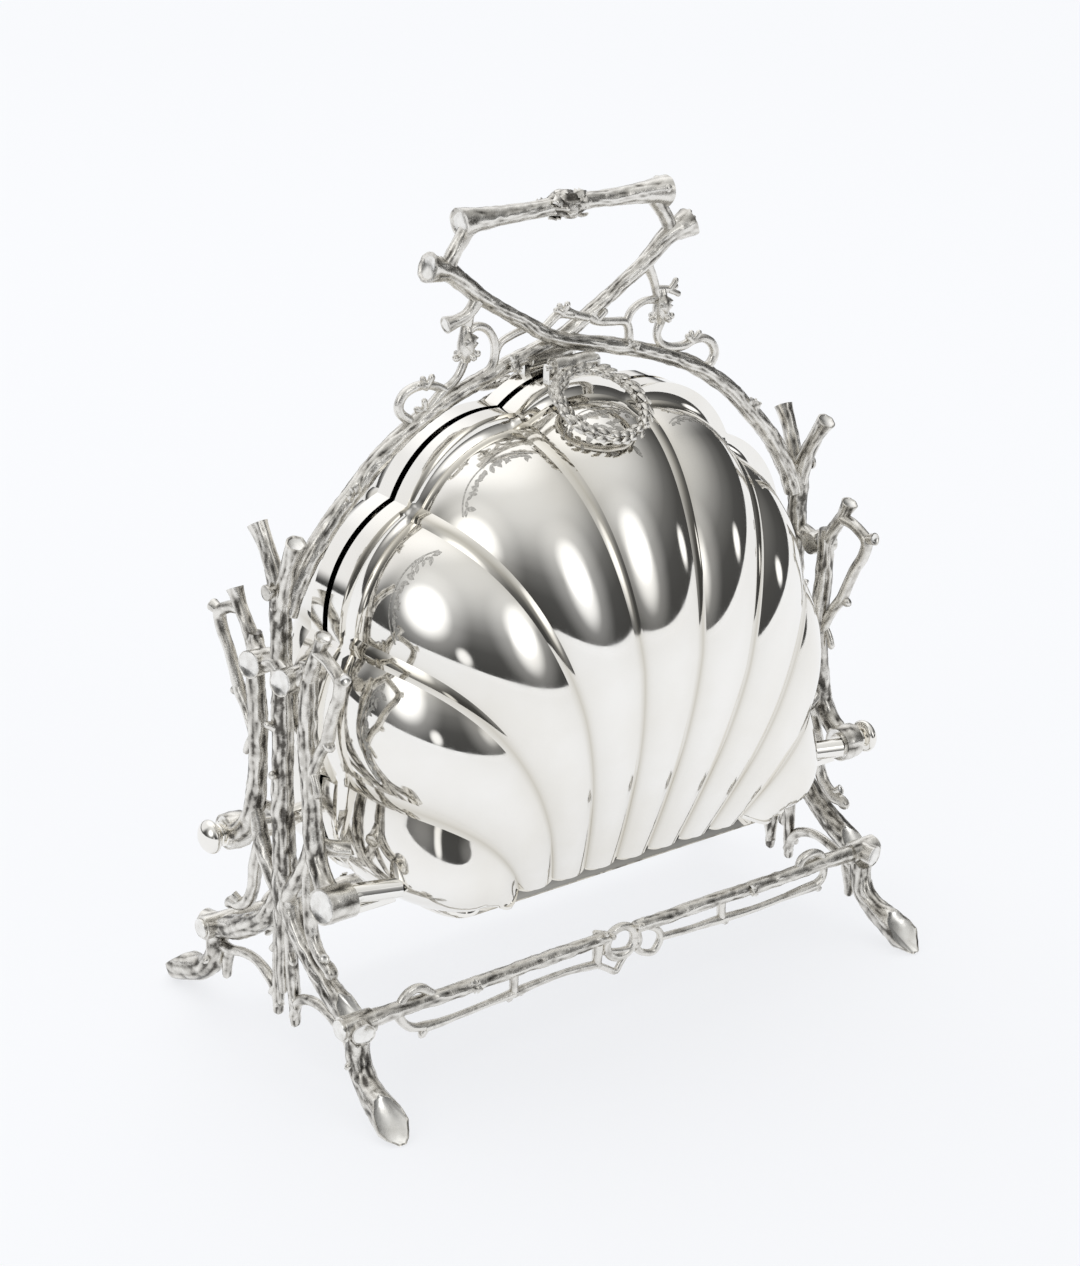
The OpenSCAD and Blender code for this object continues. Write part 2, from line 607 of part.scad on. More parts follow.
// Slots fan out from the middle of the lower edge, one row near the border and one further in
module grille_slots() {
    for (s = [-3.5 : 3.5], ring = [[0.5, 0.86], [0.2, 0.42]]) {
        reach = grille_radius(s) - scallop;
        translate([0, shell_centre]) rotate(-s * lobe_angle * 0.98) {
            translate([-slot_width / 2, reach * ring[0]]) square([slot_width, reach * (ring[1] - ring[0])]);
            translate([0, reach * ring[0]]) circle(d = slot_width);
            translate([0, reach * ring[1]]) circle(d = slot_width);
        }
    }
}

module grille() {
    knuckle_from = hinge_x[0] + lug_t + free_gap;
    knuckle_to = hinge_x[1] - lug_t - free_gap;
    color(bright_silver)
    difference() {
        union() {
            translate([0, grille_back + grille_t, 0]) rotate([90, 0, 0])
                linear_extrude(grille_t) difference() {
                    grille_outline();
                    grille_slots();
                    translate([0, knob_spot]) circle(d = stud_d + 2 * seat_gap);
                }
            for (side = [-1, 1])
                translate([side < 0 ? -hinge_x[0] - hinge_x[1] : 0, 0, 0]) {
                    rod(knuckle_from, knuckle_to, hinge_line, knuckle_d);
                    translate([knuckle_from, grille_back, hinge_line.y])
                        cube([knuckle_to - knuckle_from, grille_t, grille_low - hinge_line.y + 2]);
                }
        }
        rod(-hinge_x[1], hinge_x[1], hinge_line, hinge_pin_d + 2 * running_gap);
    }
}

module grille_lugs() {
    base_z = shell_bottom() + wall + seat_gap;
    color(bright_silver)
    for (side = [-1, 1], x = [hinge_x[0], hinge_x[1] - lug_t])
        translate([side < 0 ? -2 * x - lug_t : 0, 0, 0]) difference() {
            union() {
                rod(x, x + lug_t, hinge_line, knuckle_d);
                translate([x, hinge_line.x - knuckle_d / 2, base_z])
                    cube([lug_t, knuckle_d * 0.65, hinge_line.y - base_z]);
            }
            rod(x - 1, x + lug_t + 1, hinge_line, hinge_pin_d + 2 * running_gap);
        }
}

module grille_pins() {
    color(bright_silver)
    for (side = [-1, 1])
        translate([side < 0 ? -hinge_x[0] - hinge_x[1] : 0, 0, 0])
            rod(hinge_x[0] - 0.6, hinge_x[1] + 0.6, hinge_line, hinge_pin_d);
}

// Small turned knob that lifts the grille
module grille_knob() {
    front = grille_back + grille_t + seat_gap;
    head = -front - rim_gap - free_gap;
    outline = [[0, -grille_t - seat_gap], [stud_d / 2, -grille_t - seat_gap], [stud_d / 2, 0], [stud_d, 0],
        [stud_d * 0.7, head * 0.35], [stud_d * 1.5, head * 0.6], [stud_d * 1.4, head * 0.9], [0, head]];
    color(bright_silver)
    translate([0, front, knob_spot]) rotate([-90, 0, 0]) rotate_extrude() polygon(outline);
}

at_rear() trestle();  // left_trestle
trestle();  // right_trestle
arch();
handle_grip();
stretcher();  // front_stretcher
at_rear() stretcher();  // rear_stretcher
stretcher_screws();
arch_screws();
pivot_bushes();
pivot_collars();
knob_pin();  // front_knob_pin
at_rear() knob_pin();  // rear_knob_pin
knob();  // front_knob
at_rear() knob();  // rear_knob
fixed_pin();  // front_fixed_pin
at_rear() fixed_pin();  // rear_fixed_pin
shell();  // front_shell
hinge_tube(-1);  // front_left_hinge_tube
hinge_tube(1);  // front_right_hinge_tube
ring_lugs();  // front_ring_lugs
ring_pin();  // front_ring_pin
wreath_ring();  // front_wreath_ring
grille_lugs();  // front_grille_lugs
grille_pins();  // front_grille_pins
grille();  // front_grille
grille_knob();  // front_grille_knob
at_rear() shell();  // rear_shell
at_rear() hinge_tube(1);  // rear_left_hinge_tube
at_rear() hinge_tube(-1);  // rear_right_hinge_tube
at_rear() ring_lugs();  // rear_ring_lugs
at_rear() ring_pin();  // rear_ring_pin
at_rear() wreath_ring();  // rear_wreath_ring
at_rear() grille_lugs();  // rear_grille_lugs
at_rear() grille_pins();  // rear_grille_pins
at_rear() grille();  // rear_grille
at_rear() grille_knob();  // rear_grille_knob
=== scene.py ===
"""Folding biscuit box: two fluted silver shells that hinge inside a cast frame of branches.

Lengths in the classes are in millimetres of the shared frame: X runs along the pivots, the front
looks along -Y, and Z is up.
"""
import logging
import math
from collections.abc import Callable, Iterable, Sequence
from dataclasses import dataclass, field
from enum import Enum
from functools import partial

import bmesh
import bpy
import numpy as np
from mathutils import Matrix, Vector


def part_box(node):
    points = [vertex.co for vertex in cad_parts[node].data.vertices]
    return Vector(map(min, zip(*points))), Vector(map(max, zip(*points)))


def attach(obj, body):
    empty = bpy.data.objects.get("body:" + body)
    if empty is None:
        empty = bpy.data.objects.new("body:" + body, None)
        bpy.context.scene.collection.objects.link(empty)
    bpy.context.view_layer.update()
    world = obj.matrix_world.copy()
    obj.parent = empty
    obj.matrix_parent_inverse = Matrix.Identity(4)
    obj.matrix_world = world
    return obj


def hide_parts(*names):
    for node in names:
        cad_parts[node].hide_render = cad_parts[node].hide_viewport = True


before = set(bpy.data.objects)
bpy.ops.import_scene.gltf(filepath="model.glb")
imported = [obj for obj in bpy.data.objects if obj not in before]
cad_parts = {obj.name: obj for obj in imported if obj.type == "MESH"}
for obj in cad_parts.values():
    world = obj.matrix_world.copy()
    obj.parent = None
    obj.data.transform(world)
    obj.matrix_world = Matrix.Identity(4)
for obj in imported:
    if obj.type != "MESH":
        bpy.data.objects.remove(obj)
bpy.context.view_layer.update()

MM = 0.001
HALF_TURN = Matrix.Rotation(math.pi, 4, "Z")
OPPOSITE = {"front": "rear", "rear": "front", "left": "right", "right": "left"}
Pair = tuple[float, float]
Point = tuple[float, float, float]
Obj, Material, Socket = bpy.types.Object, bpy.types.Material, bpy.types.NodeSocket
log = logging.getLogger("biscuit_box")


# ---------------------------------------------------------------- bench: Blender's operators

def only(*objs: Obj) -> None:
    """Selects just these objects and makes the first one active.

    Args:
        objs: the objects.
    """
    bpy.ops.object.select_all(action="DESELECT")
    for obj in objs:
        obj.select_set(True)
    bpy.context.view_layer.objects.active = objs[0]


class Element(Enum):
    """What is picked in edit mode."""

    FACE = "faces"
    EDGE = "edges"


class Bench:
    """Edit mode on one object, with ways to pick faces and edges."""

    def __init__(self, obj: Obj) -> None:
        """Keeps the object to work on."""
        self.obj = obj

    def __enter__(self) -> "Bench":
        """Opens edit mode with everything selected."""
        only(self.obj)
        bpy.ops.object.mode_set(mode="EDIT")
        self.pick_all()
        return self

    def __exit__(self, *_: object) -> None:
        """Goes back to object mode."""
        bpy.ops.object.mode_set(mode="OBJECT")

    @staticmethod
    def pick_all() -> None:
        """Selects everything."""
        bpy.ops.mesh.select_all(action="SELECT")

    def pick(self, element: Element, test: Callable[..., bool]) -> None:
        """Selects only the faces or edges that pass a test.

        Args:
            element: what is picked.
            test: takes a face or an edge and says whether it is picked.
        """
        bpy.ops.mesh.select_mode(type=element.name)
        bpy.ops.mesh.select_all(action="DESELECT")
        mesh = bmesh.from_edit_mesh(self.obj.data)
        for item in mesh.faces if element is Element.FACE else mesh.edges:
            if test(item):
                item.select_set(True)
        bmesh.update_edit_mesh(self.obj.data)

    def face_outwards(self) -> None:
        """Turns all faces outwards and leaves them selected."""
        self.pick_all()
        bpy.ops.mesh.normals_make_consistent(inside=False)


def primitive(add: Callable[..., set[str]], **settings: object) -> Obj:
    """Adds a primitive alone, with its place in its mesh.

    Args:
        add: Blender's operator for the primitive.
        settings: what the operator is told.

    Returns:
        The new object, at the origin.
    """
    bpy.ops.object.select_all(action="DESELECT")
    add(**settings)
    bpy.ops.object.transform_apply(location=True, rotation=True, scale=True)
    return bpy.context.object


def place_vertices(obj: Obj, places: np.ndarray) -> None:
    """Puts the vertices of a mesh at new places, in mm."""
    obj.data.vertices.foreach_set("co", np.ascontiguousarray(places * MM).ravel())
    obj.data.update()


def store(obj: Obj, shares: np.ndarray, kind: str = "relief") -> None:
    """Stores a share from 0 to 1 at each vertex, such as how far it stands out of the hollows."""
    layer = obj.data.attributes.new(kind, "FLOAT", "POINT")
    layer.data.foreach_set("value", np.ascontiguousarray(shares, dtype=np.float32).ravel())


def patch(name: str, points: np.ndarray) -> Obj:
    """Shapes a grid.

    Args:
        name: name of the object.
        points: rows of points, in mm.

    Returns:
        The grid, with its vertices in the order of the points.
    """
    along, across = points.shape[:2]
    grid = primitive(bpy.ops.mesh.primitive_grid_add, x_subdivisions=across - 1,
                     y_subdivisions=along - 1)
    grid.name = name
    place_vertices(grid, points.reshape(-1, 3))
    return grid


def apply_modifier(obj: Obj, kind: str, **settings: object) -> None:
    """Adds a modifier and applies it.

    Args:
        obj: what is modified.
        kind: Blender's name of the modifier type.
        settings: its properties by name.
    """
    only(obj)
    modifier = obj.modifiers.new(kind.lower(), kind)
    for key, value in settings.items():
        setattr(modifier, key, value)
    bpy.ops.object.modifier_apply(modifier=modifier.name)


def smooth(obj: Obj, degrees: float) -> None:
    """Shades an object smooth, apart from edges sharper than an angle."""
    only(obj)
    bpy.ops.object.shade_smooth_by_angle(angle=math.radians(degrees))


def join(name: str, objs: Sequence[Obj]) -> Obj:
    """Joins objects into the first one and names it.

    Args:
        name: name of the whole.
        objs: what is joined.

    Returns:
        The whole.
    """
    only(*objs)
    if len(objs) > 1:
        bpy.ops.object.join()
    whole = bpy.context.view_layer.objects.active
    whole.name = whole.data.name = name
    return whole


def duplicate(obj: Obj, name: str, matrix: Matrix = HALF_TURN) -> Obj:
    """Copies an object with a mesh of its own and moves that mesh.

    Args:
        obj: what is copied.
        name: name of the copy.
        matrix: how the copy's mesh is moved.

    Returns:
        The copy, whose object sits at the origin.
    """
    twin = bpy.data.objects.new(name, obj.data.copy())
    twin.data.name = name
    bpy.context.scene.collection.objects.link(twin)
    twin.data.transform(matrix)
    return twin


def dress(obj: Obj, *finishes: Material) -> None:
    """Puts materials into the slots of an object.

    Args:
        obj: what is dressed.
        finishes: the materials, in order.
    """
    if obj.data.materials:
        obj.data.materials.clear()
    for finish in finishes:
        obj.data.materials.append(finish)


# ---------------------------------------------------------------- finishes

class Nodes:
    """Adds linked nodes to a tree."""

    def __init__(self, tree: bpy.types.NodeTree) -> None:
        """Keeps the tree to work on."""
        self.tree = tree

    def add(self, kind: str, inputs: dict | None = None, **settings: object) -> bpy.types.Node:
        """Adds a node.

        Args:
            kind: Blender's name of the node type.
            inputs: sockets to link or values to set, by name or number of the input.
            settings: properties of the node by name.

        Returns:
            The node.
        """
        node = self.tree.nodes.new(kind)
        for key, value in settings.items():
            setattr(node, key, value)
        for key, value in (inputs or {}).items():
            if isinstance(value, Socket):
                self.tree.links.new(value, node.inputs[key])
            else:
                node.inputs[key].default_value = value
        return node

    def math(self, operation: str, *values: Socket | float) -> Socket:
        """Returns the result of a Math node on sockets and numbers."""
        inputs = dict(enumerate(values))
        return self.add("ShaderNodeMath", inputs, operation=operation).outputs["Value"]

    def mix(self, share: Socket | float, first: Socket, second: Socket | tuple,
            blend: str = "MIX") -> Socket:
        """Mixes two colours.

        Args:
            share: share of the second colour.
            first: the first colour.
            second: the second colour.
            blend: Blender's name of the way to mix.

        Returns:
            The mix.
        """
        inputs = {"Factor": share, "A": first, "B": second}
        node = self.add("ShaderNodeMix", inputs, data_type="RGBA", blend_type=blend)
        return node.outputs["Result"]

    def ramp(self, source: Socket, stops: Sequence[tuple[float, Point]]) -> Socket:
        """Gives colours to values.

        Args:
            source: the values.
            stops: place and colour of each stop.

        Returns:
            The colours.
        """
        node = self.add("ShaderNodeValToRGB", {"Fac": source})
        elements = node.color_ramp.elements
        while len(elements) < len(stops):
            elements.new(0.5)
        for element, (at, colour) in zip(elements, stops):
            element.position = at
            element.color = (*colour, 1)
        return node.outputs["Color"]

    def span(self, source: Socket, before: Pair, after: Pair, ease: bool = False) -> Socket:
        """Brings values from one range to another.

        Args:
            source: the values.
            before: their range.
            after: the range that they are brought to.
            ease: whether they ease in and out at its ends.

        Returns:
            The new values.
        """
        inputs = {"Value": source, "From Min": before[0], "From Max": before[1],
                  "To Min": after[0], "To Max": after[1]}
        kind = "SMOOTHSTEP" if ease else "LINEAR"
        node = self.add("ShaderNodeMapRange", inputs, interpolation_type=kind)
        return node.outputs["Result"]


@dataclass(frozen=True)
class Noise:
    """A noise over an object: its scale per metre, its detail, and how it is stretched."""

    scale: float
    detail: float
    stretch: Point = (1, 1, 1)


class Metal(Nodes):
    """A metal finish in the making."""

    MOST_NOISE: Pair = (0.3, 0.7)

    def __init__(self, name: str) -> None:
        """Starts a material.

        Args:
            name: name of the material.
        """
        self.material = bpy.data.materials.new(name)
        self.material.use_nodes = True
        super().__init__(self.material.node_tree)
        self.place = self.add("ShaderNodeTexCoord").outputs["Object"]

    def noise(self, noise: Noise) -> Socket:
        """Adds a noise.

        Args:
            noise: what it is like.

        Returns:
            Its values.
        """
        mapping = self.add("ShaderNodeMapping", {"Vector": self.place, "Scale": noise.stretch})
        inputs = {"Vector": mapping.outputs["Vector"], "Scale": noise.scale, "Detail": noise.detail}
        return self.add("ShaderNodeTexNoise", inputs).outputs["Fac"]

    def stored(self, kind: str) -> Socket:
        """Returns a share that the mesh stores."""
        return self.add("ShaderNodeAttribute", attribute_name=kind).outputs["Fac"]

    def finish(self, colour: Socket, wear: Socket, roughness: Pair, dents: Socket,
               depth: float, strength: float) -> Material:
        """Links the parts of the finish to its shader.

        Args:
            colour: its colours.
            wear: a noise that the roughness follows.
            roughness: roughness at low and at high values of that noise.
            dents: heights of its bumps.
            depth: height of the highest bump, in metres.
            strength: share of the bumps that shows.

        Returns:
            The material.
        """
        inputs = {"Height": dents, "Distance": depth, "Strength": strength}
        shader = self.tree.nodes["Principled BSDF"].inputs
        shader["Metallic"].default_value = 1.0
        for key, source in (("Base Color", colour),
                            ("Roughness", self.span(wear, self.MOST_NOISE, roughness)),
                            ("Normal", self.add("ShaderNodeBump", inputs).outputs["Normal"])):
            self.tree.links.new(source, shader[key])
        return self.material


@dataclass(frozen=True)
class PolishedSilver:
    """Bright silver plate with faint tarnish clouds, rubbed hairlines, and grooves darkened partly
    by tarnish and partly by painted shade.
    """

    name: str = "polished_silver"
    bright: Point = (0.93, 0.915, 0.88)
    tarnish: Point = (0.87, 0.845, 0.79)
    # colour of the darkening in and towards the grooves: partly tarnish, partly painted shade
    grooves: Point = (0.66, 0.63, 0.56)
    clouds: Noise = Noise(26, 4)
    cloud_stops: Pair = (0.38, 0.72)
    hairlines: Noise = Noise(240, 5, (1, 1, 0.12))
    roughness: Pair = (0.035, 0.085)
    dents: Noise = Noise(70, 2)
    dent_depth: float = 0.00006
    dent_strength: float = 0.35

    def material(self) -> Material:
        """Makes the finish.

        Returns:
            The material.
        """
        metal = Metal(self.name)
        stops = list(zip(self.cloud_stops, (self.bright, self.tarnish)))
        clouds = metal.ramp(metal.noise(self.clouds), stops)
        # mixes in the groove darkening: tarnish in the grooves, and painted shade across the lobes
        # towards them
        colour = metal.mix(metal.stored("groove"), clouds, (*self.grooves, 1))
        return metal.finish(colour, metal.noise(self.hairlines), self.roughness,
                            metal.noise(self.dents), self.dent_depth, self.dent_strength)


@dataclass(frozen=True)
class CastSilver:
    """Cast and plated branch: bright on the ridges of the bark, dark in its hollows."""

    name: str = "cast_silver"
    hollow: Point = (0.10, 0.093, 0.083)
    flank: Point = (0.55, 0.53, 0.49)
    ridge: Point = (0.83, 0.81, 0.765)
    stops: Point = (0.16, 0.42, 0.80)
    relief_share: float = 0.75
    grain_share: float = 0.3
    grain: Noise = Noise(1300, 4)
    roughness: Pair = (0.36, 0.20)
    grain_depth: float = 0.0002
    grain_strength: float = 0.4

    def material(self) -> Material:
        """Makes the finish.

        Returns:
            The material.
        """
        metal = Metal(self.name)
        grain = metal.noise(self.grain)
        height = metal.math("MULTIPLY_ADD", metal.stored("relief"), self.relief_share,
                            metal.math("MULTIPLY", grain, self.grain_share))
        colour = metal.ramp(height, list(zip(self.stops, (self.hollow, self.flank, self.ridge))))
        return metal.finish(colour, grain, self.roughness, grain, self.grain_depth,
                            self.grain_strength)


@dataclass(frozen=True)
class SawnSilver:
    """Burnished face of a sawn branch or a screw head."""

    name: str = "sawn_silver"
    dull: Point = (0.79, 0.775, 0.74)
    bright: Point = (0.91, 0.90, 0.87)
    stops: Pair = (0.3, 0.62)
    wear: Noise = Noise(320, 4)
    roughness: Pair = (0.30, 0.14)
    scratches: Noise = Noise(700, 3)
    scratch_depth: float = 0.0001
    scratch_strength: float = 0.4

    def material(self) -> Material:
        """Makes the finish.

        Returns:
            The material.
        """
        metal = Metal(self.name)
        wear = metal.noise(self.wear)
        colour = metal.ramp(wear, list(zip(self.stops, (self.dull, self.bright))))
        return metal.finish(colour, wear, self.roughness, metal.noise(self.scratches),
                            self.scratch_depth, self.scratch_strength)


@dataclass(frozen=True)
class EngravedSilver(SawnSilver):
    """Matt ground of the engraved sprays."""

    name: str = "engraved_silver"
    dull: Point = (0.40, 0.39, 0.365)
    bright: Point = (0.66, 0.645, 0.61)
    stops: Pair = (0.35, 0.65)
    wear: Noise = Noise(1500, 2)
    roughness: Pair = (0.34, 0.5)
    scratches: Noise = Noise(1500, 2)
    scratch_strength: float = 0.6


@dataclass
class Finishes:
    """The materials of the box, made once."""

    polished: Material = field(default_factory=PolishedSilver().material)
    cast: Material = field(default_factory=CastSilver().material)
    sawn: Material = field(default_factory=SawnSilver().material)
    engraved: Material = field(default_factory=EngravedSilver().material)


# ---------------------------------------------------------------- shells

@dataclass
class ShellHalf:
    """One scallop shell: lobes that fan out from the bottom, a ledge, a border and a flat bottom.

    A place on it has a lobe value, 0 on the middle lobe's ridge, and a row value, from 0 at the
    ledge over 1 at the deepest to 2 at the bottom.
    """

    centre: float = 125.0
    radius: float = 108.5
    last_lobe: int = 4
    scallop: float = 5.5
    lobe_angle: float = 29.0
    depth: float = 67.0
    flute: float = 14.4
    rise: float = 0.085
    end_lobe: float = 3.5
    end_swell: float = 3.2
    low_swell: float = 0.9
    wall: float = 1.4
    border: float = 8.8
    border_rows: Sequence[float] = (0.0, 0.05, 0.12, 0.35, 0.65, 0.9, 1.0)
    ledge: float = 5.5
    ledge_rows: Sequence[float] = (0.1, 0.4, 0.7, 0.92)
    ledge_hollow: float = 0.9
    first_rows: Pair = (0.0, 0.012)
    upper_rows: tuple[float, int] = (0.03, 46)
    lower_rows: int = 25
    bottom_y: float = 48.5
    bottom_z: float = 66.0
    deepest: float = 0.64
    bend: Point = (0.42, 0, 0.84)
    round_off: Pair = (1.35, 0.07)
    sweep: float = 32.5
    pivot: Pair = (34.0, 74.4)
    bead: float = 0.12
    bead_rise: float = 0.09
    bead_fade: Pair = (0.6, 0.9)
    columns_to_bead: int = 13
    columns_on_bead: int = 4
    calm: float = 4.1
    reach: float = 0.2
    step: float = 0.01
    # shares of the groove darkening: tarnish and painted shade deep in the grooves, and painted
    # shade across each lobe towards them
    tarnish: Pair = (0.66, 0.34)
    tarnish_and_shade_from: float = 0.74
    tarnish_and_shade_to_lobe: float = 4.2
    sharp: float = 24.0
    inside_y: float = -20.0

    @staticmethod
    def off(s: np.ndarray) -> np.ndarray:
        """Returns how far places lie off the ridge of their lobe, 1 in a groove."""
        return 2 * np.abs(s - np.round(s))

    def columns(self) -> np.ndarray:
        """Spreads columns over the lobes, close together at the grooves.

        Returns:
            The lobe values of the columns.
        """
        flank = np.linspace(0, 1 - self.bead, self.columns_to_bead)[:-1]
        half = np.concatenate([flank, np.linspace(1 - self.bead, 1, self.columns_on_bead)])
        lobe = np.concatenate([-half[:0:-1], half])[:-1] / 2
        lobes = range(-self.last_lobe, self.last_lobe + 1)
        return np.concatenate([*(k + lobe for k in lobes), [self.last_lobe + 0.5]])

    def crest(self, s: np.ndarray, row: float) -> np.ndarray:
        """Shapes a lobe from its bead, which fades low down, to its ridge.

        Args:
            s: lobe value of each point.
            row: row value of all points.

        Returns:
            How far the lobe stands out, up to 1.
        """
        off = self.off(s)
        foot = 1 - (1 - self.bead) ** 2
        inside = 1 - np.clip((1 - off) / self.bead, 0, 1) ** 2
        beaded = np.where(off > 1 - self.bead, foot + self.bead_rise * inside, 1 - off ** 2)
        start, rate = self.bead_fade
        plain = min(1.0, max(0.0, rate * (row - start))) ** 2
        return beaded * (1 - plain) + (1 - off ** 2) * plain

    def on_fan(self, s: np.ndarray, r: np.ndarray) -> np.ndarray:
        """Returns points at a radius from the centre of the fan."""
        angle = np.radians(s * self.lobe_angle)
        return np.stack([r * np.sin(angle), 0 * s, self.centre + r * np.cos(angle)], -1)

    def groove(self, s: np.ndarray, t: np.ndarray, rise: np.ndarray) -> np.ndarray:
        """Returns points of the surface under the lobes.

        Args:
            s: lobe value of each point.
            t: share of the way from the ledge to the bottom edge.
            rise: share of the depth that is reached.

        Returns:
            The points.
        """
        top = self.on_fan(s, self.radius - self.scallop - self.ledge)
        end = np.stack([self.flute * s, 0 * s, 0 * s + self.bottom_z], -1)
        bend = top * self.bend + end * (1 - np.array(self.bend))
        depth = self.depth - s ** 2
        low = np.clip((t - self.deepest) / (1 - self.deepest), 0, None)
        y = (self.border + 1) * (1 - rise) + depth * rise - (depth - self.bottom_y) * low ** 2
        t = t[..., None]
        line = (1 - t) ** 2 * top + 2 * t * (1 - t) * bend + t ** 2 * end
        return line - np.stack([0 * y, y, 0 * y], -1)

    def base(self, s: np.ndarray, row: float) -> np.ndarray:
        """Finds points under the lobes.

        Args:
            s: lobe value of each point.
            row: row value of all points.

        Returns:
            The points.
        """
        if row > 1:
            return self.groove(s, 0 * s + self.deepest + (1 - self.deepest) * (row - 1), 0 * s + 1)
        n = 2 / (self.round_off[0] + self.round_off[1] * s ** 2)
        a = row * math.pi / 2
        way = self.deepest * (1 - max(0, math.cos(a)) ** n)
        return self.groove(s, way, math.sin(a) ** n)

    def lobed(self, s: np.ndarray, row: float, lift: float = 0.0) -> np.ndarray:
        """Returns points on the lobes.

        Args:
            s: lobe value of each point.
            row: row value of all points.
            lift: how far the points stand off the surface.

        Returns:
            The points.
        """
        calm = np.clip(s, -self.calm, self.calm)
        wide = self.base(calm + self.reach, row) - self.base(calm - self.reach, row)
        back = np.array([0, -1.0, 0]) + 0 * wide
        if row > self.step:
            back = self.base(calm, row) - self.base(calm, row - self.step)
        out = np.cross(back, wide)
        out /= np.linalg.norm(out, axis=-1, keepdims=True)
        width = np.linalg.norm(wide, axis=-1, keepdims=True) / (2 * self.reach)
        swell = self.rise * (1 + self.end_swell * np.clip(np.abs(s) - self.end_lobe, 0, None))
        swell = swell * (1 + self.low_swell * max(0, row - 1)) * self.crest(s, row)
        return self.base(s, row) + out * (width * swell[:, None] + lift)

    def skin(self, s: np.ndarray) -> np.ndarray:
        """Shapes the outer surface.

        Args:
            s: lobe values of the columns.

        Returns:
            Rows of points from the rim over the lobes to the bottom.
        """
        rim = self.on_fan(s, self.radius - self.scallop * self.off(s) ** 2)
        below = np.clip(self.pivot[1] - rim[:, 2], 0, None)
        front = np.sqrt(self.sweep ** 2 - below ** 2) - self.pivot[0]
        rows = []
        for share in self.border_rows:
            row = rim.copy()
            row[:, 1] = front * (1 - share) - self.border * share
            rows.append(row)
        edge, foot = rows[-1], self.lobed(s, 0.0)
        for share in self.ledge_rows:
            row = edge * (1 - share) + foot * share
            row[:, 1] += self.ledge_hollow * math.sin(math.pi * share)
            rows.append(row)
        start, count = self.upper_rows
        heads = [*self.first_rows, *np.linspace(start, 1, count)]
        tails = np.linspace(1, 2, self.lower_rows)[1:]
        return np.array(rows + [self.lobed(s, row) for row in (*heads, *tails)])

    def groove_tarnish_and_shade(self, s: np.ndarray, count: int) -> np.ndarray:
        """Darkens the lobes towards their grooves, partly as tarnish and partly as painted shade,
        most of it in the grooves.

        Args:
            s: lobe values of the columns.
            count: number of rows.

        Returns:
            The share of tarnish and painted shade at each point.
        """
        off = self.off(s)
        # narrow darkening deep in each groove is tarnish and painted shade; the broad part over off
        # ** 2 is painted shade that makes the lobes look rounder
        deep = np.clip((off - self.tarnish_and_shade_from) / (1 - self.tarnish_and_shade_from), 0, 1) ** 2
        shares = self.tarnish[0] * deep + self.tarnish[1] * off ** 2
        on_lobes = np.arange(count) >= len(self.border_rows) + len(self.ledge_rows)
        return shares * (np.abs(s) < self.tarnish_and_shade_to_lobe) * on_lobes[:, None]

    def build(self, name: str, finishes: Finishes) -> Obj:
        """Models the front shell.

        Args:
            name: name of the piece.
            finishes: the materials.

        Returns:
            The piece.
        """
        s = self.columns()
        rows = self.skin(s)
        lobes = patch(name, rows)
        # stores the groove darkening: tarnish and painted shade
        store(lobes, self.groove_tarnish_and_shade(s, len(rows)), "groove")
        last = len(rows) - 1
        # the bottom needs every second row of the rim and every sixth of the lobes
        kept = [*range(0, 14, 2), *range(14, last, 6), last]
        across = np.stack([s / s[-1], 1 + 0 * s, 1 + 0 * s], -1)
        under = np.array([rows[r, -1] * across for r in kept])
        under[-1] = rows[-1]
        bottom = patch(name + "_bottom", under[:, ::-1])
        for skin in (lobes, bottom):
            apply_modifier(skin, "SOLIDIFY", thickness=self.wall * MM, use_even_offset=False,
                           offset=self.inner_side(skin))
        shell = join(name, [lobes, bottom])
        with Bench(shell) as bench:
            bench.face_outwards()
        smooth(shell, self.sharp)
        dress(shell, finishes.polished)
        return shell

    def inner_side(self, skin: Obj) -> float:
        """Finds the side of a skin that faces the middle of the shell.

        Args:
            skin: the skin.

        Returns:
            The offset that thickens it to that side.
        """
        face = skin.data.polygons[len(skin.data.polygons) // 2]
        inwards = Vector((0, self.inside_y, self.centre)) * MM - face.center
        return 1.0 if face.normal.dot(inwards) > 0 else -1.0


# ---------------------------------------------------------------- branches

def smooth_line(points: Sequence[Point], pitch: float) -> np.ndarray:
    """Returns evenly spaced places on a smooth line through points.

    Args:
        points: the points that the line runs through.
        pitch: wanted distance between places.

    Returns:
        The places, from the first point to the last.
    """
    p = np.asarray(points, float)
    p = np.vstack([2 * p[0] - p[1], p, 2 * p[-1] - p[-2]])
    t = np.linspace(0, 1, 24, endpoint=False)[:, None]
    runs = []
    for a, b, c, d in zip(p[:-3], p[1:-2], p[2:-1], p[3:]):
        cubic = 2 * a - 5 * b + 4 * c - d + t * (3 * (b - c) + d - a)
        runs.append(b + 0.5 * t * (c - a + t * cubic))
    fine = np.vstack([*runs, p[-2:-1]])
    along = np.concatenate([[0], np.cumsum(np.linalg.norm(np.diff(fine, axis=0), axis=1))])
    places = np.linspace(0, along[-1], max(4, round(along[-1] / pitch) + 1))
    return np.stack([np.interp(places, along, fine[:, k]) for k in range(3)], -1)


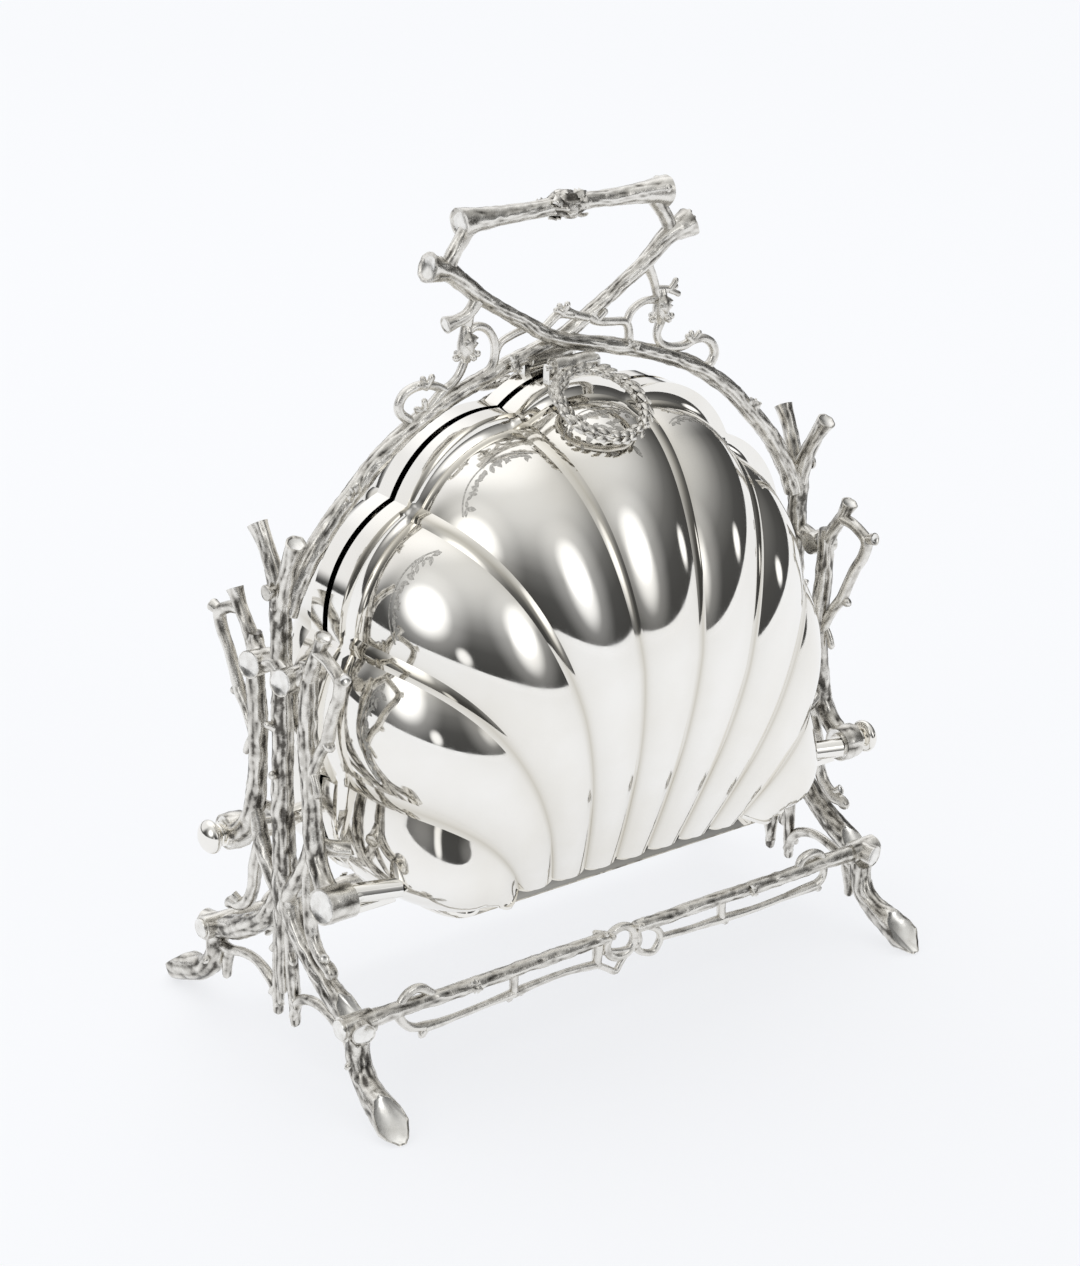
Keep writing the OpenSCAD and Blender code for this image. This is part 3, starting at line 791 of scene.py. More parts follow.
def patchy(seed: int, along: np.ndarray, turn: np.ndarray, pitch: float, count: int) -> np.ndarray:
    """Returns a smooth random field round a branch, from 0 to 1.

    Args:
        seed: seed of the field.
        along: places along the branch.
        turn: angles round it.
        pitch: length of a patch.
        count: patches round the branch.

    Returns:
        The field at each place.
    """
    grid = np.random.default_rng(seed).random((int(along.max() / pitch) + 3, count))
    a, c = along / pitch, turn / math.tau * count
    i, j = a.astype(int), c.astype(int)
    f, g = a - i, c - j
    f, g = f * f * (3 - 2 * f), g * g * (3 - 2 * g)
    j, k = j % count, (j + 1) % count
    near = grid[i, j] * (1 - f) + grid[i + 1, j] * f
    return near * (1 - g) + (grid[i, k] * (1 - f) + grid[i + 1, k] * f) * g


class Cut(Enum):
    """How a branch ends."""

    BURIED = "runs into another branch"
    SAWN = "sawn off, with a rim round a dished face"
    ROUND = "worn round"


@dataclass(frozen=True)
class Bark:
    """Furrows along a branch, fine knobs over them and broad lumps under them."""

    face: float = 0.62
    faces: tuple[int, int] = (12, 48)
    meander: float = 0.9
    meander_pitch: float = 9.0
    meanders: int = 4
    furrow_faces: float = 5.5
    furrow_power: float = 0.8
    furrow_span: Pair = (0.58, 0.42)
    knob_shares: Pair = (0.6, 0.4)
    knob_pitches: Pair = (3.6, 1.7)
    knob_span: Pair = (0.30, 0.75)
    lump: float = 0.12
    lump_pitch: float = 11.0
    lumps: int = 3
    depth: float = 1.5
    middle: float = 0.55
    relief: Point = (2.3, 0.3, 0.7)

    def sides(self, radius: float) -> int:
        """Returns the number of faces round a branch."""
        return int(np.clip(round(math.tau * radius / self.face), *self.faces))

    def height(self, seed: int, way: np.ndarray, ring: np.ndarray, sides: int) -> np.ndarray:
        """Shapes the bark.

        Args:
            seed: seed of the branch.
            way: places along the branch.
            ring: angles round it.
            sides: faces round it.

        Returns:
            How high the bark stands at each place.
        """
        sway = patchy(seed, way, ring, self.meander_pitch, self.meanders) - 0.5
        furrows = max(3, round(sides / self.furrow_faces))
        furrow = np.abs(np.cos(furrows * (ring + self.meander * sway) / 2)) ** self.furrow_power
        coarse = patchy(seed + 50, way, ring, self.knob_pitches[0], max(5, sides // 3))
        fine = patchy(seed + 70, way, ring, self.knob_pitches[1], max(6, sides // 2))
        knobs = self.knob_shares[0] * coarse + self.knob_shares[1] * fine
        (low, more), (least, rest) = self.furrow_span, self.knob_span
        return (low + more * furrow) * (least + rest * knobs)

    def swelling(self, seed: int, way: np.ndarray, ring: np.ndarray) -> np.ndarray:
        """Returns by how much the lumps thicken a branch at each place."""
        return 1 + self.lump * (patchy(seed + 90, way, ring, self.lump_pitch, self.lumps) - 0.5)


@dataclass
class Bough:
    """One branch of a casting, with bark, along a smooth line through points.

    Its girths are spread evenly along the line. A saw is a point and the direction of the cut
    face, where that isn't square to the line; a sole is cut flat just above the ground.
    """

    line: Sequence[Point]
    girth: Sequence[float]
    start: Cut = Cut.BURIED
    end: Cut = Cut.BURIED
    bark: float = 0.55
    flare: float = 1.3
    seed: int = 1
    saw: tuple[Point, Point] | None = None
    sole: bool = False
    dish: float = 1.0
    pitch: float = 0.85
    shade: float = 0.0
    flare_length: float = 2.4
    blunt: float = 0.12
    ground: float = 0.1
    rims: Sequence[Pair] = ((0.10, 0.02), (0.08, -0.07))
    corners: int = 6
    square: float = 0.98

    def build(self) -> Obj:
        """Rolls a grid into the branch and cuts its ends.

        Returns:
            The branch, whose faces of index 1 are sawn faces.
        """
        bark = Bark()
        centres = smooth_line(self.line, self.pitch)
        steps = np.linalg.norm(np.diff(centres, axis=0), axis=1)
        along = np.concatenate([[0], np.cumsum(steps)])
        radius = self.radii(along)
        sides = bark.sides(radius.max())
        way, ring = np.meshgrid(along, np.linspace(0, math.tau, sides + 1), indexing="ij")
        height = bark.height(self.seed, way, ring, sides)
        reach = (radius[:, None] * bark.swelling(self.seed, way, ring)
                 + bark.depth * self.bark * (height - bark.middle))
        across, upward = self.frames(centres)
        spokes = (np.cos(ring)[..., None] * across[:, None]
                  + np.sin(ring)[..., None] * upward[:, None])
        bough = patch("bough", centres[:, None] + reach[..., None] * spokes)
        gain, least, share = bark.relief
        store(bough, np.clip(gain * height - least - share * self.bark - self.shade, 0, 1))
        self.finish(bough, centres)
        return bough

    def radii(self, along: np.ndarray) -> np.ndarray:
        """Flares sawn ends and draws in round ones.

        Args:
            along: places along the branch.

        Returns:
            The radius at each place.
        """
        shares = np.linspace(0, 1, len(self.girth))
        radius = np.interp(along / along[-1], shares, self.girth) / 2
        for cut, far in ((self.start, along), (self.end, along[-1] - along)):
            if cut is Cut.SAWN and self.saw is None:
                near = np.clip(1 - far / (self.flare_length * radius), 0, 1)
                radius = radius * (1 + (self.flare - 1) * near ** 2)
            if cut is Cut.ROUND:
                near = np.clip(far / radius, 0, 1)
                radius = radius * np.sqrt(np.clip(1 - (1 - near) ** 2, self.blunt, 1))
        return radius

    @staticmethod
    def frames(centres: np.ndarray) -> tuple[np.ndarray, np.ndarray]:
        """Finds two directions across the branch, without twist.

        Args:
            centres: places on the middle line.

        Returns:
            Both directions at each place.
        """
        ahead = np.gradient(centres, axis=0)
        ahead /= np.linalg.norm(ahead, axis=1, keepdims=True)
        across = np.zeros_like(ahead)
        across[0, int(np.argmin(np.abs(ahead[0])))] = 1
        for i in range(len(ahead)):
            last = across[max(0, i - 1)]
            across[i] = last - ahead[i] * np.dot(last, ahead[i])
            across[i] /= np.linalg.norm(across[i])
        return across, np.cross(ahead, across)

    def finish(self, bough: Obj, centres: np.ndarray) -> None:
        """Closes the tube, and cuts the ends that show.

        Args:
            bough: the open tube.
            centres: places on the middle line.
        """
        with Bench(bough) as bench:
            bpy.ops.mesh.remove_doubles(threshold=1e-6)
            bpy.ops.mesh.fill_holes(sides=0)
            bench.face_outwards()
            if self.sole:
                bpy.ops.mesh.bisect(plane_co=(0, 0, self.ground * MM), plane_no=(0, 0, 1),
                                    use_fill=True, clear_inner=True)
            if self.start is Cut.SAWN:
                self.cut_end(bench, centres[0], self.girth[0], None)
            if self.end is Cut.SAWN:
                self.cut_end(bench, centres[-1], max(self.girth[-2:]), self.saw)

    def cut_end(self, bench: Bench, centre: np.ndarray, width: float,
                saw: tuple[Point, Point] | None) -> None:
        """Saws an end, if it isn't square, and dishes its face.

        Args:
            bench: edit mode on the branch.
            centre: middle of the end.
            width: girth at the end.
            saw: a point and the direction of the cut face, or None.
        """
        if saw:
            place, way = Vector(saw[0]) * MM, Vector(saw[1]).normalized()
            bench.pick_all()
            bpy.ops.mesh.bisect(plane_co=place, plane_no=way, use_fill=True, clear_outer=True)
            bench.pick(Element.FACE, lambda f: len(f.verts) > self.corners
                       and f.normal.dot(way) > self.square)
        else:
            spot, near = Vector(centre) * MM, width * MM / 3
            bench.pick(Element.FACE, lambda f: len(f.verts) > self.corners
                       and (f.calc_center_median() - spot).length < near)
        for rim, depth in self.rims:
            size = self.dish * width * MM
            bpy.ops.mesh.inset(thickness=rim * size, depth=depth * size, use_even_offset=False)
        for face in bmesh.from_edit_mesh(bench.obj.data).faces:
            if face.select:
                face.material_index = 1


def flat(*places: Pair, y: float = 0.0) -> list[Point]:
    """Returns places, given across and up, in a plane that faces the front."""
    return [(x, y, z) for x, z in places]


def numbered(first: int, *boughs: Bough) -> list[Bough]:
    """Gives branches the seeds that count on from a first one.

    Args:
        first: seed of the first branch.
        boughs: the branches.

    Returns:
        The branches.
    """
    for seed, bough in enumerate(boughs, first):
        bough.seed = seed
    return list(boughs)


@dataclass
class Leaf:
    """A small lobed leaf that points along +X and faces +Z, modelled once and copied."""

    length: float = 6.0
    width: float = 4.6
    lobes: float = 0.35
    thick: float = 0.7
    grid: tuple[int, int] = (9, 5)
    lobe_pairs: int = 3
    fullness: float = 0.8
    arch: float = 0.9
    droop: float = 0.55
    keel: float = 0.35
    relief: Pair = (0.44, 0.56)
    vein: Pair = (0.5, 40.0)

    def build(self, finishes: Finishes) -> Obj:
        """Models the leaf at the origin.

        Args:
            finishes: the materials.

        Returns:
            The leaf.
        """
        rows, across = (np.linspace(low, 1, n) for low, n in zip((0, -1), self.grid))
        t, s = np.meshgrid(rows, across, indexing="ij")
        outline = np.sin(math.pi * np.clip(t, 0.03, 0.97) ** self.fullness) ** self.fullness
        half = outline * (1 + self.lobes * np.cos(self.lobe_pairs * math.tau * t)) * self.width / 2
        rise = (self.arch * np.sin(math.pi * t) - self.droop * np.abs(s) ** 1.5
                + self.keel * (1 - np.abs(s)))
        leaf = patch("leaf", np.stack([t * self.length, s * half, rise], -1))
        vein = self.vein[0] * np.exp(-self.vein[1] * s ** 2)
        store(leaf, np.clip(self.relief[0] + self.relief[1] * t - vein, 0, 1))
        apply_modifier(leaf, "SOLIDIFY", thickness=self.thick * MM, offset=0)
        dress(leaf, finishes.cast, finishes.sawn)
        return leaf


@dataclass
class Casting:
    """A cast piece of branches, buds and leaves."""

    finishes: Finishes
    leaf: Obj | None = None
    sharp: float = 50.0

    def cast(self, name: str, boughs: Iterable[Bough], more: Sequence[Obj] = ()) -> Obj:
        """Joins branches and other bits into one piece.

        Args:
            name: name of the piece.
            boughs: the branches.
            more: other finished bits.

        Returns:
            The piece.
        """
        bits = [bough.build() for bough in boughs]
        for bit in bits:
            dress(bit, self.finishes.cast, self.finishes.sawn)
        piece = join(name, [*bits, *more])
        smooth(piece, self.sharp)
        return piece

    def pose(self, at: Point, ahead: Point, face: Point, scale: float = 1.0) -> Obj:
        """Copies the leaf to a place.

        Args:
            at: where its stalk is.
            ahead: where it points.
            face: where its upper side looks.
            scale: size of the copy.

        Returns:
            The copy.
        """
        x = Vector(ahead).normalized()
        z = (Vector(face) - x * Vector(face).dot(x)).normalized()
        turn = Matrix((x, z.cross(x), z)).transposed().to_4x4()
        place = Matrix.Translation(Vector(at) * MM) @ turn @ Matrix.Scale(scale, 4)
        return duplicate(self.leaf, "leaf", place)

    def tufts(self, face: Point, *spots: tuple[Point, Point, int, float, float]) -> list[Obj]:
        """Fans copies of the leaf from places.

        Args:
            face: where their upper sides look.
            spots: where each tuft is, where it points, its leaves, its spread and its scale.

        Returns:
            The leaves.
        """
        leaves, axis, lift, smaller = [], Vector(face).normalized(), 0.25, 0.12
        for at, ahead, count, spread, scale in spots:
            for i, a in enumerate(np.radians(np.linspace(-spread / 2, spread / 2, count))):
                way = Matrix.Rotation(a, 3, axis) @ Vector(ahead) + axis * lift
                leaves.append(self.pose(at, way, face, scale * (1 - smaller * (i % 2))))
        return leaves

    @staticmethod
    def fingers(at: Point, ahead: Point, face: Point, count: int, spread: float,
                reach: float = 5.0, girth: float = 2.5, seed: int = 1) -> list[Bough]:
        """Fans blunt buds from a place.

        Args:
            at: where they start.
            ahead: where the middle of the fan points.
            face: the direction that the fan turns about.
            count: how many buds.
            spread: angle of the fan, in degrees.
            reach: length of the longest bud.
            girth: thickness of a bud.
            seed: seed of the first bud's bark.

        Returns:
            The buds.
        """
        buds = []
        shorter, stagger, bow, waist = 0.16, 0.8, 0.3, 0.82
        axis, start = Vector(face).normalized(), Vector(at)
        for i, a in enumerate(np.radians(np.linspace(-spread / 2, spread / 2, count))):
            way = Matrix.Rotation(a, 3, axis) @ Vector(ahead).normalized()
            tip = start + way * reach * (1 - shorter * (i % 2)) + axis * stagger * (-1) ** i
            line = [tuple(start), tuple(start.lerp(tip, 0.5) + axis * bow), tuple(tip)]
            buds.append(Bough(line, (girth, waist * girth, girth), end=Cut.ROUND, bark=0.2,
                              seed=seed + i, pitch=0.6))
        return buds


@dataclass
class Trestle(Casting):
    """One cast end of the frame, a little darker than the rest, modelled as the right one."""

    plane: float = 116.0
    shade: float = 0.13

    def at(self, side: int, *places: Point) -> list[Point]:
        """Returns places in the frame for places from the trunk: to a side, up and outwards."""
        return [(self.plane + w, side * u, v) for u, v, w in places]

    def middle(self) -> list[Bough]:
        """Lists the trunk and what crosses it.

        Returns:
            The branches.
        """
        b, at, worn = partial(Bough, shade=self.shade), partial(self.at, 1), Cut.ROUND
        return [
            # trunk
            b(at((0, 42, 0), (0.3, 66, 0), (-0.2, 92, 0.3), (0.2, 120, 0), (0, 150, 0.2),
                 (0, 178, 0)), (7.8, 8.6, 7.6, 7.2, 7.2, 7.4), bark=0.88, seed=3),
            # middle root
            b(at((0.3, 60, 1), (1, 45, 2.2), (0.4, 34, 2.4), (0.8, 25, 2)), (6, 5, 4.2, 3.4),
              end=worn, bark=0.7, seed=5),
            # branch across the trunk
            b(at((-17, 153, 0), (-9.8, 148.5, 1.6), (0, 150.5, 1.2), (9.8, 148.5, 1.6),
                 (17, 153, 0)), (5.6, 6.6, 7, 6.6, 5.6), seed=7),
        ]

    def side(self, k: int) -> list[Bough]:
        """Lists the branches on one side of the trunk.

        Args:
            k: -1 for the front and 1 for the rear.

        Returns:
            The branches.
        """
        b, at, n = partial(Bough, shade=self.shade), partial(self.at, k), 20 + 7 * k
        sawn, worn = Cut.SAWN, Cut.ROUND
        return [
            # fork
            b(at((0, 170, 0), (3.4, 181, 0), (7.4, 189.5, 0.6), (12, 197, 1.2)), (7, 6.2, 5.6, 5.8),
              end=sawn, flare=1.22, seed=n),
            # knot beside the trunk
            b(at((9.6, 148, -2), (9.8, 148, 3), (10, 148, 10)), (8, 9.4, 10.2), end=sawn, bark=0.3,
              dish=0.3, seed=n + 1, saw=((self.plane + 7, 10 * k, 148), (0.97, 0.2, 0.1))),
            # side stem to the pivot boss
            b(at((16.6, 156, 0), (16.8, 148, 0), (16.4, 137, 0.3), (16, 122, 0), (17, 106, -0.3),
                 (18.5, 93, 0), (20.5, 85, 0.3), (26.5, 78, 0.8), (33, 74.6, 1.2)),
              (5.4, 6.4, 6.6, 7, 6.6, 6.8, 7.4, 7.4, 8), bark=0.74, seed=n + 2),
            # brace to the trunk
            b(at((19, 93, 0), (14.5, 80, 0.6), (8.5, 71, 0.9), (2, 62, 0.6), (0, 54, 0)),
              (5.6, 6.2, 6.4, 6.8, 7), bark=0.6, seed=n + 3),
            # upper stub
            b(at((16.4, 149, 0), (20.4, 157, 0.4), (24.4, 163, 0.8), (27.4, 169, 1)),
              (5.4, 5.2, 4.8, 4.8), end=sawn, seed=n + 4),
            # twig loop
            b(at((24, 162.5, 0.6), (31, 160.8, 1), (37.2, 157, 1.2), (36.4, 151, 1), (33, 145, 0.6),
                 (30, 138, 0.3), (27.6, 131.5, 0), (23.5, 126, 0), (20, 120, 0), (16.6, 113, 0)),
              (4.8, 4.4, 4.8, 4.4, 4.2, 4.2, 4.6, 4, 4.2, 4.6), bark=0.4, seed=n + 5),
            # stub on the loop
            b(at((36, 157, 1.2), (41.2, 158.6, 1.8)), (4, 3.6), end=sawn, bark=0.3, seed=n + 6),
            # bud on the loop
            b(at((27, 131.5, 0), (31.4, 129.4, 0.6)), (3.8, 3.4), end=worn, bark=0.3, seed=n + 7),
            # bud under the loop
            b(at((17.5, 119, 0), (21, 113.5, 0.6), (22.6, 108.6, 0.8)), (2.8, 2.6, 3), end=worn,
              bark=0.2, seed=n + 8),
            # leg with its cut foot
            b(at((0, 74, 0), (4, 60, 0), (11, 50.5, 0.4), (21, 43, 0.6), (31, 37.4, 0.6),
                 (41, 33.5, 0.4), (45.4, 29, 0.5), (46, 22, 0.8), (49.5, 15, 1.2), (56, 10.6, 1.8),
                 (62, 8.6, 2.1), (70, 5.8, 2.4), (79, 2.4, 2.4)),
              (8.4, 8.2, 8, 7.8, 7.8, 8.6, 9.4, 8.4, 8, 8.6, 10.4, 12, 3.6), bark=0.7, seed=n + 9,
              end=sawn, sole=True, dish=0.3,
              saw=((self.plane, 75.8 * k, 0.6), (0.15 * k, 0.70 * k, 0.70))),
            # hanging twig
            b(at((15, 79, 0), (17.4, 68, 1), (18.6, 59, 1.4), (21.6, 52.6, 1.6), (27, 48.6, 1.8),
                 (32, 47.6, 2.4), (33.6, 45, 2.8)), (5.2, 5.2, 5, 4.8, 4.6, 4.6, 4.6), end=worn,
              bark=0.45, seed=n + 10),
            # stub on it
            b(at((26, 49, 1.6), (29.6, 51.6, 3.4)), (3.4, 3), end=sawn, bark=0.25, seed=n + 11),
            # root
            b(at((1.6, 63, 0), (3.2, 46, 0.3), (4.8, 31, 0.3), (5.6, 13.4, 0.2)), (6, 5, 4.4, 3.4),
              end=worn, bark=0.75, seed=n + 12),
            # high spur
            b(at((3, 44, 0.5), (7.4, 38.6, 1.6)), (3.6, 3), end=worn, bark=0.3, seed=n + 20),
            # low spur
            b(at((5.2, 25, 0.4), (8.8, 20.4, 1.4)), (3.4, 2.6), end=worn, bark=0.3, seed=n + 21),
            # curl to the leg
            b(at((5, 17, 0.2), (7.4, 23.4, 0.3), (12.4, 27.4, 0.5), (20, 29.2, 0.5), (29, 28, 0.4),
                 (37, 25.4, 0.2), (45, 24, 0)), (4, 3.8, 3.8, 3.6, 3.8, 4.2, 4.6), bark=0.35,
              seed=n + 13),
            # root tip
            b(at((38, 25.4, 0), (40.8, 18, -0.3), (41.6, 11.6, -0.4)), (4.2, 4, 3.4), end=worn,
              bark=0.45, seed=n + 14),
            # inner stub
            b(at((18, 90, -1), (19, 87, -6), (21, 85.6, -12.4)), (6.4, 5.6, 5.4), end=sawn,
              flare=1.15, bark=0.5, seed=n + 15),
            # pivot boss
            b(at((34, 74.4, -4.2), (34, 74.4, 0), (34, 74.4, 3.4 if k < 0 else 14)),
              (12, 12.8, 12.4), start=sawn, end=sawn, flare=1.04, bark=0.4, seed=n + 16, dish=0.35,
              saw=None if k < 0 else ((self.plane + 7.4, 34, 74.4), (0.98, 0.15, 0.1))),
            # socket of the rail
            b(at((45.3, 32.7, -5), (45.3, 32.7, 7)), (8.6, 8.4), bark=0.5, end=sawn, flare=1.05,
              seed=n + 17),
            # spur on the leg
            b(at((47, 20, 2.5), (46.4, 17.6, 6.4)), (3, 2.6), end=worn, bark=0.2, seed=n + 18),
            # round cut end at the rail
            b(at((43, 32.6, 0.2), (47.4, 32.4, 0.9), (51.6, 32, 1.9)), (7.4, 7.8, 7.8), end=sawn,
              flare=1.1, bark=0.35, dish=0.5, seed=n + 22),
            # bud on the trunk
            b(at((-0.5 * k, 118 + 9 * k, 3), (-1.8, 120 + 9 * k, 6.2)), (3.4, 2.8), end=worn,
              bark=0.2, seed=n + 19),
        ]

    def build(self, name: str) -> Obj:
        """Models the right trestle."""
        return self.cast(name, [*self.middle(), *self.side(-1), *self.side(1)])


@dataclass
class Arch(Casting):
    """Two branches that rise from the trestles and cross below the handle, with their twigs."""

    limb: Sequence[Point] = (
        (56.4, 0, 278.4), (52, 0, 276.8), (46.8, 0, 274.8), (34.6, 0.3, 264.9), (16.6, 1.2, 253.4),
        (2, 1.6, 245.4), (-19.7, 0.8, 239.6), (-38.5, 0, 234.2), (-57.8, 0, 226.7),
        (-72.5, 0, 217.8), (-82, 0, 210), (-94, 0, 198), (-103.6, 0, 186.3), (-110.6, 0, 174.5),
        (-113.6, 0, 167))
    limb_girth: Sequence[float] = (
        8.4, 6.2, 5.2, 5, 5.2, 5.8, 5.8, 5.6, 5.8, 6.2, 6.4, 6.6, 6.8, 7.2, 7)

    def limbs(self, k: int) -> list[Bough]:
        """Lists the branch from an elbow of the handle to the other side, and its spurs.

        Args:
            k: -1 for the left elbow and 1 for the right one.

        Returns:
            The branches.
        """
        line = [(k * x, k * y, z) for x, y, z in self.limb]
        return [
            Bough(line, self.limb_girth, start=Cut.SAWN, bark=0.6, seed=60 + k),
            # riser to the grip, and a bud at the elbow
            Bough(flat((49 * k, 275.6), (45 * k, 283), (38.5 * k, 291)), (5.4, 4.8, 5.6), bark=0.6,
                  seed=64 + k),
            Bough(flat((50 * k, 277), (52.4 * k, 281.4)), (3.6, 3), end=Cut.ROUND, bark=0.3,
                  seed=68 + k),
        ]

    def twigs(self) -> list[Bough]:
        """Lists the thin twigs and curls under the handle.

        Returns:
            The branches.
        """
        b, thin = Bough, partial(Bough, bark=0.22, pitch=0.8)
        sawn, worn = Cut.SAWN, Cut.ROUND
        return numbered(
            71,
            # left stub
            b(flat((-35, 265.4), (-39.6, 260), (-44, 258.2), (-49, 257.3)), (5, 4.4, 4.4, 4.6),
              end=sawn, bark=0.4),
            # hanging stem
            thin(flat((-39.4, 260), (-40.2, 254), (-40.7, 248)), (4.3, 3.6, 4.1)),
            # left curl
            thin(flat((-40.4, 253.6), (-36, 255), (-31.4, 253), (-28.6, 248.5), (-28.2, 243.5),
                      (-29.6, 239.4), (-34, 236)), (3.1, 3.1, 3.1, 3.2, 3.4, 3.4, 3.6)),
            # twig to the crown
            thin(flat((-28.2, 243.4), (-26.4, 247), (-22.6, 249), (-13.5, 251.4)),
                 (2.9, 2.8, 2.8, 3.1)),
            # twig down to the arch
            thin(flat((-40.8, 244), (-43, 239.5), (-46.4, 236.2), (-51, 233.6), (-56, 229)),
                 (3.1, 2.9, 3.1, 3.4, 3.8)),
            # outer left curl
            thin(flat((-49, 234.6), (-55, 237.4), (-60.6, 238), (-65.4, 236.4), (-68, 233),
                      (-67.4, 229.6), (-63.6, 226.4)), (3.1, 3.2, 3.2, 3.4, 3.5, 3.6, 3.6)),
            # crown twig
            thin(flat((-13, 251.4), (-8, 249.6), (-2.6, 253), (1.2, 254.6), (6, 252.4),
                      (11.5, 250.6)), (3.6, 3.1, 3.1, 3.4, 3, 3.4)),
            # right twig
            thin(flat((12, 251), (16, 248.6), (22.4, 247.4), (28.4, 246.4), (30.4, 243),
                      (30.6, 236.6)), (3.4, 3.1, 3.1, 3.2, 3.4, 3.8)),
            # right spur
            thin(flat((29.2, 245.6), (31, 249.2), (33.9, 251.4), (37.8, 252.6), (42.6, 252.4)),
                 (3, 2.8, 2.8, 2.8, 3.1)),
            # right hanging stem
            b(flat((37.6, 266.4), (41, 260), (42.6, 255), (44.4, 249)), (4.2, 3.4, 3, 3.2),
              bark=0.35),
            # outer right curl
            thin(flat((44.9, 244), (43.4, 239.6), (45, 236.2), (49, 234), (55.4, 233.2),
                      (60, 234.4), (65, 234.6), (69.4, 232), (70.9, 227.6), (68.4, 223.8),
                      (64, 222.6)), (3.6, 3, 3, 3.1, 3.4, 3.2, 3.2, 3.4, 3.6, 3.6, 3.8)),
            # bud stalk
            b(flat((42.6, 256), (46, 255.6), (49, 255)), (3, 2.6, 2.8), end=worn, bark=0.3),
        )

    def buds(self) -> list[Bough]:
        """Lists the fingered buds on the twigs and the two hanging blossoms.

        Returns:
            The branches.
        """
        buds = []
        for x, z, turn, count, spread in (
                (0.4, 253.4, 86, 6, 200), (48.4, 255, 15, 3, 85), (60, 234, 95, 3, 85),
                (-57, 237, 112, 3, 95), (-57.6, 228.6, 130, 2, 60), (16, 249, 80, 2, 70),
                (55.6, 278.4, 55, 4, 210)):
            ahead = (math.cos(math.radians(turn)), 0, math.sin(math.radians(turn)))
            buds += self.fingers((x, -0.3, z), ahead, (0, -1, 0), count, spread,
                                 seed=141 + len(buds))
        for x in (-40.7, 44.8):
            stem = [(x, y, z) for y, z in ((-0.2, 256), (-0.5, 252.6), (-0.6, 249), (-0.5, 245.8),
                                           (-0.2, 243.4))]
            buds.append(Bough(stem, (3.0, 4.6, 5.8, 5.6, 3.2), seed=171))
            for dx, dy in ((-1, -0.2), (1, -0.2), (0.2, -1), (-0.2, 1)):
                petal = [(x + across * dx, deep * dy, z) for across, deep, z in (
                    (1.4, 1.4, 247.6), (3.8, 3.4, 245.4), (5.6, 4.6, 246))]
                buds.append(Bough(petal, (2.6, 2.3, 2.6), end=Cut.ROUND, bark=0.2, pitch=0.6,
                                  seed=172 + len(buds)))
        return buds

    def build(self, name: str) -> Obj:
        """Models the arch.

        Args:
            name: name of the piece.

        Returns:
            The piece.
        """
        leaves = self.tufts(
            (0, -1, 0.25),
            ((-40.7, -2.0, 254), (0.02, 0, -1), 1, 0, 1.1),
            ((44.8, -2.0, 254), (0, 0, -1), 1, 0, 1.1),
            ((-20, -2.6, 240), (-1, 0, -0.2), 4, 100, 0.8),
            ((88, -2.2, 205), (0.5, 0, 0.8), 3, 90, 0.7),
            ((-88, -2.4, 205), (-0.5, 0, 0.8), 3, 90, 0.8),
            ((30, -2.4, 237), (0.4, 0, 1), 3, 100, 0.6))
        boughs = [*self.limbs(-1), *self.limbs(1), *self.twigs(), *self.buds()]
        return self.cast(name, boughs, leaves)


@dataclass
class Grip(Casting):
    """The bar of the handle, with swollen ends and a leafy knot in the middle."""

    height: float = 292.2
    leaf_turn: float = 48.0
    leaf_count: int = 15
    leaf_step: float = 0.75
    leaf_start: float = -4.5
    leaf_radius: float = 3.5
    leaf_lift: float = 0.22
    leaf_scale: float = 0.85

    def build(self, name: str) -> Obj:
        """Models the grip.

        Args:
            name: name of the piece.

        Returns:
            The piece.
        """
        bar = Bough(flat((-43.4, 291.4), (-38, 291.8), (-20, 291.8), (0, 292.3), (20, 292),
                         (39, 291.7), (45.4, 291.3)), (9.4, 6.8, 5.8, 6.4, 5.8, 6.8, 9.2),
                    start=Cut.SAWN, end=Cut.SAWN, flare=1.16, seed=91)
        knot = Bough(flat((-6.5, 292.2), (-2, 292.4), (3, 292.2), (8.5, 292.2)), (6, 8.6, 8.8, 6),
                     bark=1.3, seed=97)
        bumps = self.fingers((42.4, 0, 291.6), (0, -0.3, 1), (1, 0, 0), 7, 310, 5.4, 4.2, 92)
        bumps += self.fingers((-40.4, 0, 291.6), (0, -1, -0.2), (-1, 0, 0), 3, 150, 4.6, 3.4, 103)
        leaves = []
        for i in range(self.leaf_count):
            a = math.radians(self.leaf_turn * i)
            y, z = math.cos(a), math.sin(a)
            spot = (self.leaf_start + self.leaf_step * i, self.leaf_radius * y,
                    self.height + self.leaf_radius * z)
            ahead = (1 if i % 3 else -1, self.leaf_lift * y, self.leaf_lift * z)
            leaves.append(self.pose(spot, ahead, (0, y, z), self.leaf_scale))
        return self.cast(name, [bar, knot, *bumps], leaves)


